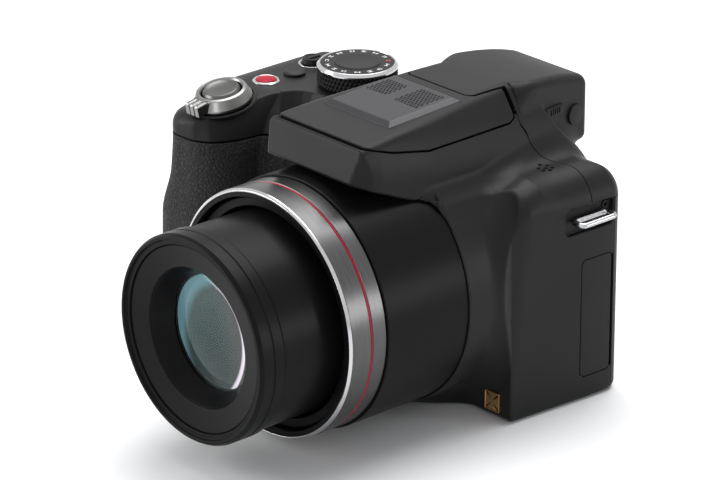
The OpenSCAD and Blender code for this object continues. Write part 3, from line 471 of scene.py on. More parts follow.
@dataclass
class Patch:
    """Points in millimetres with a normal each, and the faces over them."""

    points: Array
    normals: Array
    quads: Array = field(default_factory=lambda: np.zeros((0, 4), int))
    tris: Array = field(default_factory=lambda: np.zeros((0, 3), int))

    @classmethod
    def grid(cls, points: Array, normals: Array, wrap_u: bool = False, wrap_v: bool = False) -> "Patch":
        """Make faces over a two-parameter grid.

        Args:
            points: places as an array (u, v, 3).
            normals: outward normals of the same shape.
            wrap_u: whether the last row joins the first.
            wrap_v: whether the last column joins the first.

        Returns:
            The patch, with faces turned to agree with the normals and poles closed by triangles.
        """
        rows, columns = points.shape[:2]
        index = np.arange(rows * columns).reshape(rows, columns)
        pole = np.ptp(points, axis=1).max(axis=1) < 1e-7
        index[pole] = index[pole, :1]
        if wrap_u:
            index = np.concatenate([index, index[:1]])
        if wrap_v:
            index = np.concatenate([index, index[:, :1]], axis=1)
        quads = np.stack([index[:-1, :-1], index[1:, :-1], index[1:, 1:], index[:-1, 1:]], -1).reshape(-1,
                                                                                                       4)
        ahead = quads[:, 1] == quads[:, 2]
        behind = quads[:, 0] == quads[:, 3]
        tris = np.concatenate([quads[ahead & ~behind][:, [0, 1, 3]], quads[behind & ~ahead][:, [0, 1, 2]]])
        patch = cls(points.reshape(-1, 3), unit(normals.reshape(-1, 3)), quads[~(ahead | behind)], tris)
        return patch.turned().packed()

    @classmethod
    def sheet(cls, points: Array, outward: tuple[float, float, float], wrap_v: bool = False) -> "Patch":
        """Make a patch over a grid whose normals are the cross product of its two directions.

        Args:
            points: places as an array (u, v, 3).
            outward: a direction that most normals lean to.
            wrap_v: whether the last column joins the first.

        Returns:
            The patch.
        """
        along = np.roll(points, -1, 1) - np.roll(points, 1, 1) if wrap_v else np.gradient(points, axis=1)
        normals = np.cross(np.gradient(points, axis=0), along)
        return cls.grid(points, normals * np.sign(np.sum(normals @ np.array(outward, float))), False,
                        wrap_v)

    def turned(self) -> "Patch":
        """Return the patch with its faces turned to agree with its normals."""
        corners = np.concatenate([self.quads[:, :3], self.tris])
        a, b, c = (self.points[corners[:, i]] for i in range(3))
        agree = np.einsum("ij,ij->", np.cross(b - a, c - a), self.normals[corners[:, 0]])
        if agree < 0:
            return Patch(self.points, self.normals, self.quads[:, ::-1], self.tris[:, ::-1])
        return self

    def packed(self) -> "Patch":
        """Return the patch without points that no face uses."""
        used, fresh = np.unique(np.concatenate([self.quads.ravel(), self.tris.ravel()]),
                                return_inverse=True)
        cut = self.quads.size
        return Patch(self.points[used], self.normals[used], fresh[:cut].reshape(-1, 4),
                     fresh[cut:].reshape(-1, 3))

    def __add__(self, other: "Patch") -> "Patch":
        """Return both patches as one."""
        n = len(self.points)
        return Patch(np.concatenate([self.points, other.points]),
                     np.concatenate([self.normals, other.normals]),
                     np.concatenate([self.quads, other.quads + n]),
                     np.concatenate([self.tris, other.tris + n]))

    def piece(self, name: str, body: str, slot: Slot, material: bpy.types.Material,
              nodes: Sequence[str] = ()) -> bpy.types.Object:
        """Make the scene object.

        Args:
            name: the piece's name.
            body: the body that it rides on.
            slot: the record's slot; not used.
            material: its finish.
            nodes: the nodes of the frame that it stands for.

        Returns:
            The object, in metres, with its own normals.
        """
        mesh = bpy.data.meshes.new(name)
        loops = np.concatenate([self.quads.ravel(), self.tris.ravel()])
        counts = np.repeat([4, 3], [len(self.quads), len(self.tris)])
        mesh.vertices.add(len(self.points))
        mesh.vertices.foreach_set("co", (self.points * MM).astype(np.float32).ravel())
        mesh.loops.add(len(loops))
        mesh.loops.foreach_set("vertex_index", loops.astype(np.int32))
        mesh.polygons.add(len(counts))
        mesh.polygons.foreach_set("loop_start", (np.cumsum(counts) - counts).astype(np.int32))
        mesh.polygons.foreach_set("use_smooth", np.ones(len(counts), bool))
        mesh.update(calc_edges=True)
        mesh.normals_split_custom_set_from_vertices(self.normals.astype(np.float32))
        made = bpy.data.objects.new(name, mesh)
        bpy.context.scene.collection.objects.link(made)
        mesh.materials.append(material)
        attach(made, body)
        if nodes:
            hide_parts(*nodes)
        LOG.info("%s on %s: %d faces", name, body, len(counts))
        return made


@dataclass(frozen=True)
class Outline:
    """A flat outline whose corners (u, v, r) are arcs of radius r."""

    corners: tuple[tuple[float, float, float], ...]
    closed: bool = True
    steps: int = 5

    @classmethod
    def box(cls, low: tuple[float, float], high: tuple[float, float], r: float,
            steps: int = 5) -> "Outline":
        """Return a rectangle between two corners, rounded to r."""
        return cls(((*low, r), (high[0], low[1], r), (*high, r), (low[0], high[1], r)), True, steps)

    def trace(self) -> tuple[Array, Array]:
        """Walk the outline.

        Each corner becomes an arc that touches both of its sides; the normal turns evenly along the arc, so
        that straight stretches stay flat.

        Returns:
            The points and the outward normals, both (n, 2).
        """
        data = np.array(self.corners, float)
        spots, radii = data[:, :2], data[:, 2]
        before, after = np.roll(spots, 1, 0), np.roll(spots, -1, 0)
        way_in, way_out = unit(spots - before), unit(after - spots)
        if not self.closed:
            way_in[0], way_out[-1] = way_out[0], way_in[-1]
        area = np.sum(spots[:, 0] * after[:, 1] - after[:, 0] * spots[:, 1])
        side = 1.0 if area > 0 else -1.0
        turn = np.arctan2(way_in[:, 0] * way_out[:, 1] - way_in[:, 1] * way_out[:, 0],
                          np.sum(way_in * way_out, 1))
        start = np.arctan2(-side * way_in[:, 0], side * way_in[:, 1])
        share = np.linspace(0, 1, self.steps)
        angle = start[:, None] + turn[:, None] * share
        normal = np.stack([np.cos(angle), np.sin(angle)], -1)
        reach = radii * np.tan(np.abs(turn) / 2)
        hand = np.where(turn * side >= 0, 1.0, -1.0)[:, None]
        begin = spots - way_in * reach[:, None]
        centre = begin - normal[:, 0] * (radii[:, None] * hand)
        points = centre[:, None] + normal * (radii[:, None] * hand)[:, None]
        kept = np.ones(angle.shape, bool)
        if not self.closed:
            kept[0, 1:] = kept[-1, 1:] = False
        return points[kept], normal[kept]


@dataclass(frozen=True)
class Dome:
    """A profile from the axis down over a shallow cap and straight in again at its foot."""

    radius: float
    crown: float
    edge: float
    foot: float
    closed: bool = False
    steps: int = 14

    def trace(self) -> tuple[Array, Array]:
        """Walk the cap, a circle through crown and edge, then its wall and foot.

        Returns:
            The points (r, h) and the outward normals.
        """
        rise = self.crown - self.edge
        ball = (self.radius**2 + rise**2) / (2 * rise)
        side = 1.0 if self.crown > self.foot else -1.0
        angle = np.linspace(0, math.asin(self.radius / abs(ball)), self.steps)
        cap = np.stack([abs(ball) * np.sin(angle), self.crown - ball * (1 - np.cos(angle))], -1)
        lean = np.stack([np.sin(angle) * np.sign(rise) * side, np.cos(angle) * side], -1)
        wall = np.array([(self.radius, self.edge), (self.radius, self.foot),
                         (self.radius - 0.02, self.foot), (0, self.foot)])
        normals = np.array([(1.0, 0.0), (1.0, 0.0), (0.0, -side), (0.0, -side)])
        return np.concatenate([cap, wall]), np.concatenate([lean, normals])


@dataclass(frozen=True)
class Axis:
    """A line with a frame: a profile (r, h) is carried round it, h along the line."""

    origin: tuple[float, float, float]
    along: tuple[float, float, float]
    across: tuple[float, float, float] = (1.0, 0.0, 0.0)
    inset: float = 0.06

    def frame(self) -> tuple[Array, Array, Array]:
        """Return the two cross directions and the direction along the line."""
        w = unit(np.array(self.along, float))
        u = np.array(self.across, float)
        u = unit(u - w * (u @ w))
        return u, np.cross(w, u), w

    def place(self, r: Array, turn: Array, h: Array) -> Array:
        """Return the points at a distance, turn and height."""
        u, v, w = self.frame()
        ray = np.cos(turn)[..., None] * u + np.sin(turn)[..., None] * v
        return np.array(self.origin) + r[..., None] * ray + h[..., None] * w

    def revolve(self, outline: Outline | Dome, sides: int = 96) -> Patch:
        """Carry a profile round the line.

        The point of turn t and profile place (r, h) is origin + r (u cos t + v sin t) + h w.

        Args:
            outline: the profile as (r, h) corners.
            sides: the number of steps round.

        Returns:
            The turned surface, closed round.
        """
        points, normals = outline.trace()
        turn = np.linspace(0, 2 * math.pi, sides, endpoint=False)
        r, t = np.meshgrid(points[:, 0], turn, indexing="ij")
        h = np.repeat(points[:, 1:], sides, 1)
        places = self.place(np.maximum(r, 0), t, h)
        lean = np.repeat(normals[:, None], sides, 1)
        u, v, w = self.frame()
        ray = np.cos(t)[..., None] * u + np.sin(t)[..., None] * v
        return Patch.grid(places, lean[..., :1] * ray + lean[..., 1:] * w, outline.closed, True)

    def rail(self, path: Outline, section: Outline) -> Patch:
        """Carry a closed section along a closed flat path.

        The point of path place p with normal n and section place (d, h) is p + d n + h w.

        Args:
            path: the outline across the line.
            section: corners (d, h), d out from the path.

        Returns:
            The rail.
        """
        flat, out = path.trace()
        rim, tilt = section.trace()
        u, v, w = self.frame()
        side = out[:, :1] * u + out[:, 1:] * v
        spine = np.array(self.origin) + flat[:, :1] * u + flat[:, 1:] * v
        points = spine[:, None] + rim[None, :, :1] * side[:, None] + rim[None, :, 1:] * w
        return Patch.grid(points, tilt[None, :, :1] * side[:, None] + tilt[None, :, 1:] * w, True, True)

    def prism(self, plan: Outline, edge: Outline) -> Patch:
        """Close a plate: its edge profile is carried round its plan.

        The edge profile (d, h) starts and ends on the plate's middle; d is the distance in from the plan
        along the plan's normal, so each ring of the plate is an offset of the plan. A ring with level
        normals lies just inside each end, and the last rings shrink to the middle point.

        Args:
            plan: the outline across the line.
            edge: corners (d, h), d = 0 at the plan and negative inwards.

        Returns:
            The plate.
        """
        flat, out = plan.trace()
        rim, tilt = edge.trace()
        up, inset = np.sign(rim[-1, 1] - rim[0, 1]), np.array([-self.inset, 0.0])
        rim = np.concatenate([rim[:1] + inset, rim, rim[-1:] + inset])
        tilt = np.concatenate([[[0.0, -up]], tilt, [[0.0, up]]])
        u, v, w = self.frame()
        ring = flat[None] + rim[:, :1, None] * out[None]
        middle = np.repeat(flat.mean(0)[None, None], len(flat), 1)
        plane = np.concatenate([middle, ring, middle])
        high = np.concatenate([rim[:1, 1], rim[:, 1], rim[-1:, 1]])[:, None]
        lean = np.concatenate([tilt[:1], tilt, tilt[-1:]])
        side = out[:, :1] * u + out[:, 1:] * v
        normals = lean[:, :1, None] * side[None] + lean[:, 1:, None] * w
        across = plane[..., :1] * u + plane[..., 1:] * v
        places = np.array(self.origin) + across + (high + 0 * plane[..., 0])[..., None] * w
        return Patch.grid(places, normals, False, True)


# Level surfaces


def meet(a: Array, b: Array, r: float | Array) -> Array:
    """Return the field of what lies in both shapes, with the edge between them rounded to r."""
    return np.minimum(np.maximum(a, b), -r) + np.hypot(np.maximum(a + r, 0), np.maximum(b + r, 0))


def join(a: Array, b: Array, r: float | Array) -> Array:
    """Return the field of what lies in either shape, with a fillet of radius r between them."""
    return np.maximum(np.minimum(a, b), r) - np.hypot(np.maximum(r - a, 0), np.maximum(r - b, 0))


def rounded_box(u: Array, v: Array, low: tuple[float, float], high: tuple[float, float], r: float) -> Array:
    """Return the distance to a flat box.

    Args:
        u: the first coordinate.
        v: the second coordinate.
        low: the box's lowest corner.
        high: the box's highest corner.
        r: the radius of its corners.

    Returns:
        The distance, negative inside.
    """
    du = np.abs(u - (low[0] + high[0]) / 2) - (high[0] - low[0]) / 2 + r
    dv = np.abs(v - (low[1] + high[1]) / 2) - (high[1] - low[1]) / 2 + r
    return np.hypot(np.maximum(du, 0), np.maximum(dv, 0)) + np.minimum(np.maximum(du, dv), 0) - r


def region(u: Array, v: Array, corners: Sequence[tuple[float, float]]) -> Array:
    """Return the distance to a closed polygon.

    Args:
        u: the first coordinate.
        v: the second coordinate.
        corners: the polygon's corners in order.

    Returns:
        The distance, negative inside.
    """
    near = np.full(np.broadcast(u, v).shape, np.inf)
    within = np.zeros(near.shape, bool)
    for (au, av), (bu, bv) in zip(corners, (*corners[1:], corners[0])):
        du, dv = bu - au, bv - av
        share = np.clip(((u - au) * du + (v - av) * dv) / (du * du + dv * dv), 0, 1)
        near = np.minimum(near, (u - au - share * du) ** 2 + (v - av - share * dv) ** 2)
        if dv:
            crossed = ((av > v) != (bv > v)) & (u < au + (v - av) * du / dv)
            within = within ^ crossed
    return np.sqrt(near) * np.where(within, -1.0, 1.0)


def tilted(plane: Plane, x: Array, y: Array, z: Array) -> Array:
    """Return the distance to a plane, given as its outward normal and a point on it."""
    normal, through = plane
    return sum(n * (c - p) for n, c, p in zip(normal, (x, y, z), through) if n)


def slope_of(points: Array, height: Field, step: float = 0.02) -> Array:
    """Return the gradient of a field at points, from differences over a small step."""
    moves = np.eye(3) * step
    return np.stack([height(*(points + m).T) - height(*(points - m).T) for m in moves], -1) / (2 * step)


@dataclass(frozen=True)
class Level:
    """Sampling box for the zero surface of a field."""

    low: tuple[float, float, float]
    high: tuple[float, float, float]
    step: float
    rounds: int = 3
    least: float = 0.2

    def surface(self, shape: Field) -> Patch:
        """Mesh the zero surface.

        Each cell that the surface crosses holds one point: the mean of the crossings on the cell's edges,
        then moved along the gradient onto the surface. Each grid edge that crosses it gives a face over its
        four cells.

        Args:
            shape: the field, negative inside.

        Returns:
            The surface as triangles with the field's own normals.
        """
        axes = [np.arange(a, b + self.step, self.step) for a, b in zip(self.low, self.high)]
        x, y, z = np.ix_(*axes)
        values = np.broadcast_to(shape(x, y, z), tuple(map(len, axes))).astype(np.float32)
        inside = values < 0
        offsets = np.stack(np.meshgrid([0, 1], [0, 1], [0, 1], indexing="ij"), -1).reshape(8, 3)
        cell_shape = np.array(values.shape) - 1
        views = [tuple(slice(o, o + n) for o, n in zip(offset, cell_shape)) for offset in offsets]
        count = np.sum([inside[view] for view in views], axis=0, dtype=np.uint8)
        active = (count > 0) & (count < 8)
        cells = np.argwhere(active)
        held = np.stack([values[view][active] for view in views], -1)
        ends = np.argwhere(np.abs(offsets[:, None] - offsets[None]).sum(-1) == 1)
        ends = ends[ends[:, 0] < ends[:, 1]]
        a, b = held[:, ends[:, 0]], held[:, ends[:, 1]]
        crossing = (a < 0) != (b < 0)
        share = np.where(crossing, a / np.where(crossing, a - b, 1), 0)[..., None]
        spots = offsets[ends[:, 0]] + share * (offsets[ends[:, 1]] - offsets[ends[:, 0]])
        mean = (spots * crossing[..., None]).sum(1) / crossing.sum(1)[:, None]
        points = np.array(self.low) + (cells + mean) * self.step
        for _ in range(self.rounds):
            slope = slope_of(points, shape)
            steep = np.maximum((slope**2).sum(-1, keepdims=True), self.least)
            push = shape(*points.T)[:, None] * slope / steep
            points = points - np.clip(push, -self.step, self.step)
        number = np.full(cell_shape, -1)
        number[active] = np.arange(len(cells))
        quads = np.concatenate([self._faces(inside, number, axis) for axis in range(3)])
        tris = np.concatenate([quads[:, [0, 1, 2]], quads[:, [0, 2, 3]]])
        return Patch(points, unit(slope_of(points, shape)), tris=tris).packed()

    @staticmethod
    def _faces(inside: Array, number: Array, axis: int) -> Array:
        """Make the faces across the grid edges along one axis.

        Args:
            inside: which grid points are inside.
            number: the point held by each cell.
            axis: the edges' direction.

        Returns:
            The quads, turned outwards.
        """
        within = np.moveaxis(inside, (axis, (axis + 1) % 3, (axis + 2) % 3), (0, 1, 2))
        held = np.moveaxis(number, (axis, (axis + 1) % 3, (axis + 2) % 3), (0, 1, 2))
        first, second = within[:-1, 1:-1, 1:-1], within[1:, 1:-1, 1:-1]
        i, j, k = np.nonzero(first != second)
        quads = np.stack([held[i, j, k], held[i, j + 1, k], held[i, j + 1, k + 1], held[i, j, k + 1]], -1)
        return np.where(first[i, j, k][:, None], quads, quads[:, ::-1])


@dataclass(frozen=True)
class Trim:
    """How a cover's edge is finished: half the gap, the edge's radius and the depth of its wall."""

    gap: float = 0.15
    edge: float = 0.22
    depth: float = 1.6
    backed: bool = False
    turns: tuple[float, ...] = (35.0, 65.0, 90.0)

    def cut(self, skin: Patch, zone: Field) -> Patch:
        """Cut a cover out of a skin.

        Triangles that the line zone = gap + edge crosses are split there. The edge then turns in: ring k of
        the wall lies at angle f of a quarter circle, p + e sin(f) t - e (1 - cos f) n, where t points over
        the edge and n is the skin's normal, and the last ring lies the wall's depth below.

        Args:
            skin: the whole skin.
            zone: the distance inside the cover's zone, positive inside.

        Returns:
            The cover with its wall, and with a back where it is backed.
        """
        kept = self._clip(skin, zone(*skin.points.T) - self.gap - self.edge)
        sides = np.concatenate([kept.tris[:, [0, 1]], kept.tris[:, [1, 2]], kept.tris[:, [2, 0]]])
        key = np.sort(sides, 1)
        _, first, count = np.unique(key[:, 0] * len(kept.points) + key[:, 1], return_index=True,
                                    return_counts=True)
        rim = sides[first[count == 1]]
        ids, local = np.unique(rim, return_inverse=True)
        local = local.reshape(rim.shape)
        base, normal = kept.points[ids], kept.normals[ids]
        over = -slope_of(base, zone)
        over = unit(over - normal * np.sum(over * normal, 1, keepdims=True))
        turn = np.radians(self.turns)[:, None, None]
        rings = base + self.edge * (np.sin(turn) * over - (1 - np.cos(turn)) * normal)
        lean = np.cos(turn) * normal + np.sin(turn) * over
        rings = np.concatenate([rings, (base + self.edge * over - self.depth * normal)[None]])
        lean = np.concatenate([lean, lean[-1:]])
        n = len(kept.points)
        rows = np.concatenate([ids[None],
                               n + np.arange(rings.shape[0] * len(ids)).reshape(rings.shape[0], -1)])
        points = np.concatenate([kept.points, rings.reshape(-1, 3)])
        normals = np.concatenate([kept.normals, lean.reshape(-1, 3)])
        tris = kept.tris
        if self.backed:
            rows = np.concatenate([rows, ids[None] + len(points)])
            tris = np.concatenate([tris, kept.tris[:, ::-1] + len(points)])
            points = np.concatenate([points, kept.points - self.depth * kept.normals])
            normals = np.concatenate([normals, -kept.normals])
        i, j = local[:, 0], local[:, 1]
        quads = np.stack([rows[:-1, j], rows[:-1, i], rows[1:, i], rows[1:, j]], -1).reshape(-1, 4)
        return Patch(points, unit(normals), quads, tris)

    @staticmethod
    def _clip(skin: Patch, value: Array) -> Patch:
        """Keep the part of a skin where a value is positive.

        Args:
            skin: the skin.
            value: the value at each of its points.

        Returns:
            The kept part, with a shared point on each crossed edge.
        """
        value = np.where(np.abs(value) < 1e-4, 1e-4, value)
        held = value[skin.tris] > 0
        count = held.sum(1)
        split = (count == 1) | (count == 2)
        corners, lone = skin.tris[split], held[split] == (count[split] == 1)[:, None]
        order = (np.argmax(lone, 1)[:, None] + np.arange(3)) % 3
        a, b, c = np.take_along_axis(corners, order, 1).T
        pairs = np.sort(np.concatenate([np.stack([a, b], 1), np.stack([a, c], 1)]), 1)
        fresh, where = np.unique(pairs, axis=0, return_inverse=True)
        where = where.reshape(-1) + len(skin.points)
        low, high = fresh.T
        share = (value[low] / (value[low] - value[high]))[:, None]
        points = skin.points[low] + share * (skin.points[high] - skin.points[low])
        normals = unit(skin.normals[low] + share * (skin.normals[high] - skin.normals[low]))
        ab, ac = where[: len(a)], where[len(a):]
        one = count[split] == 1
        tips = np.stack([a, ab, ac], 1)[one]
        wide = np.concatenate([np.stack([ab, b, c], 1)[~one], np.stack([ab, c, ac], 1)[~one]])
        tris = np.concatenate([skin.tris[count == 3], tips, wide])
        whole = Patch(np.concatenate([skin.points, points]), np.concatenate([skin.normals, normals]),
                      tris=tris)
        return whole.packed()


# Covers


def ease(share: Array) -> Array:
    """Return a smooth rise from 0 to 1."""
    t = np.clip(share, 0, 1)
    return t * t * (3 - 2 * t)


@dataclass(frozen=True)
class Form:
    """Outer form of the covers in one field: body and grip, hump with hood and finder, and lens collar."""

    left: float = -85.0
    right: float = 35.0
    front: float = -17.0
    rear: float = 20.0
    deck: float = 60.5
    grip_front: float = -37.0
    grip_right: float = -55.0
    axis: float = 33.7
    collar_end: float = -30.5
    hood_gap: float = 32.4
    waist: float = 2.8
    lean: float = 6.2
    lean_from: float = 42.0
    tilt: float = math.tan(math.radians(12))
    plate: tuple[tuple[float, float], ...] = (
        (-95, -36), (-75, -35.8), (-70, -35), (-66.5, -33.6), (-64.2, -31), (-63, -27), (-62, -22),
        (-60.7, -17), (-59.6, -13), (-58.6, -10.2), (-57.3, -8), (-55.4, -6.4), (-52.6, -5.5),
        (-49.2, -5.2), (-20, -5.2), (20, -6.8), (45, -6.8), (45, 35), (-95, 35))
    crest: tuple[tuple[float, float], ...] = ((-51, 76), (-40, 77.1), (-11, 78.5), (0, 79), (9, 78.4),
                                              (27, 75.1))
    ridge: Plane = ((0.825, 0.065, 0.561), (13.0, -14.0, 78.4))
    brow: Plane = ((0, -0.957, 0.29), (0, -53.3, 68.4))
    cheek: Plane = ((0.8, -0.6, 0), (15.2, -53.0, 0))
    chin: Plane = ((0, -0.392, -0.92), (0, -53.3, 67.3))
    nape: Plane = ((0, 0.859, 0.512), (0, 7.6, 75.5))
    seat_rounds: int = 6

    def lens_radius(self, x: Array, z: Array) -> Array:
        """Return the distance from the lens axis."""
        return np.hypot(x, z - self.axis)

    def deck_at(self, x: Array, y: Array) -> Array:
        """Return the height of the deck, which falls to the front of the grip."""
        past = -13 - y
        fall = (past + np.hypot(past, 2.0)) / 2
        return self.deck - self.tilt * fall * ease((-48 - x) / 6)

    def block(self, x: Array, y: Array, z: Array, over: Array, past: Array) -> Array:
        """Return the field of the block behind the lens: its side bevel and the facet along its top are one
        band round the front face, which leans back towards the top."""
        near, ahead = np.maximum(y, self.front), 0.3 * np.maximum(self.front - y, 0)
        box = rounded_box(x, y, (self.left, -90), (self.right, self.rear), 5.0)
        side = 0.998 * (x - self.right) - 0.0665 * (near - 10) - ahead
        bevel = 0.971 * (x - self.right + 0.5) - 0.24 * (near + 8) + 0.022 * (z - 52) - ahead
        steep = np.radians(60 - 43 * ease((x + 18) / 20))
        facet = np.cos(steep) * over + np.sin(steep) * np.minimum(past, 8)
        shoulder = 2.5 + (4.0 + 2.5 * ease((y + 12) / 12)) * ease((x - 5) / 18)
        outer = meet(meet(meet(box, side, 0.2), bevel, 0.25), meet(over, facet, 0.25), shoulder)
        face = self.front + self.lean * (np.maximum(z - self.lean_from,
                                                    0) / (self.deck - self.lean_from)) ** 2 - y
        foot = 6.0 + 9.5 * ease((21 - x) / 11) * ease((12 - z) / 10)
        return meet(outer, join(face * 0.92, self.collar(x, y, z), foot), 0.4)

    def grip(self, x: Array, y: Array, z: Array, over: Array, past: Array) -> Array:
        """Return the field of the hand grip under the sloping deck."""
        column = rounded_box(x, y, (self.left, self.grip_front), (self.grip_right, self.rear), 13.0)
        column = column + 0.4 + 1.9 * ease((z - 28) / 12)
        facet = 0.6 * over + 0.8 * past
        return meet(column, meet(over, facet, 0.4), 3.6)

    def body(self, x: Array, y: Array, z: Array) -> Array:
        """Return the field of the body and grip without the hump."""
        fillet = 0.01 + 5 * ease((-10 - y) / 5) * ease((x + 60) / 4)
        over, past = z - self.deck_at(x, y), region(x, y, self.plate)
        both = join(self.block(x, y, z, over, past), self.grip(x, y, z, over, past), fillet)
        waist = self.left + self.waist * ease((z - 16) / 26) - x
        return meet(meet(both, waist, 6.0 + 4.5 * ease((z - 30) / 20)), -z, 2.0)

    def crest_at(self, y: Array) -> Array:
        """Return the height of the hump's top line, a smooth curve through its points."""
        spots = np.array(self.crest)
        return np.polyval(np.polyfit(spots[:, 0], spots[:, 1], 4), y)

    def hump(self, x: Array, y: Array, z: Array) -> Array:
        """Return the field of the hood and the finder housing."""
        out = np.abs(x)
        flare = 0.3 * np.clip(75 - z, 0, 8) * ease(-x / 10) * ease((-28 - y) / 12)
        wide = np.interp(y, (-54.3, -46, -30, -10, 30), (17.3, 18.5, 19.1, 19.2, 19.0)) + flare
        crest = z - self.crest_at(y)
        ridge, front, corner, under, rear = (
            tilted(plane, out, y, z) for plane in (self.ridge, self.brow, self.cheek, self.chin, self.nape))
        hood = meet(meet(out - wide, ridge, 4.0), crest, 1.6)
        hood = meet(meet(hood, front, 0.7), corner, 0.4)
        hood = meet(meet(hood, under, 0.7), rear, 0.8)
        hood = np.maximum(np.maximum(hood, y - 17), 55.5 - z)
        housing = meet(out - 15.2 + 0.1 * (y - 9), crest, 2.4)
        housing = meet(housing, ridge - 0.5 * np.maximum(y - 1, 0), 1.6)
        housing = meet(meet(housing, y - 28, 2.2), 58.0 - z, 2.0)
        return join(hood, np.maximum(housing, 2 - y), 0.01 + 0.6 * ease((out - 13) / 2))

    def collar(self, x: Array, y: Array, z: Array) -> Array:
        """Return the field of the cone that leads to the barrel."""
        wide = 32.5 + 0.02 * (y - self.collar_end)
        cone = self.lens_radius(x, z) - wide
        return np.maximum(meet(cone, self.collar_end - y, 0.3), y + 2)

    def field(self, x: Array, y: Array, z: Array) -> Array:
        """Return the whole field, with the room for the barrel under the hood taken out."""
        whole = join(self.body(x, y, z), self.hump(x, y, z), 6.5)
        room = np.maximum(self.lens_radius(x, z) - self.hood_gap, y - self.collar_end + 0.5)
        right = np.maximum(rounded_box(y, z, (-0.3, 45.4), (15.6, 52.2), 1.6), 33.3 - x)
        left = np.maximum(rounded_box(y, z, (1.5, 43.6), (16.6, 50.4), 1.6), x + 81.0)
        return meet(meet(whole, -room, 0.2), -np.minimum(right, left), 0.25)

    def seat(self, points: Array) -> tuple[Array, Array]:
        """Move points along the gradient onto the surface.

        Args:
            points: places near the surface.

        Returns:
            The seated points and their normals.
        """
        for _ in range(self.seat_rounds):
            slope = slope_of(points, self.field)
            points = points - self.field(*points.T)[:, None] * slope / np.sum(slope**2, 1, keepdims=True)
        return points, unit(slope_of(points, self.field))


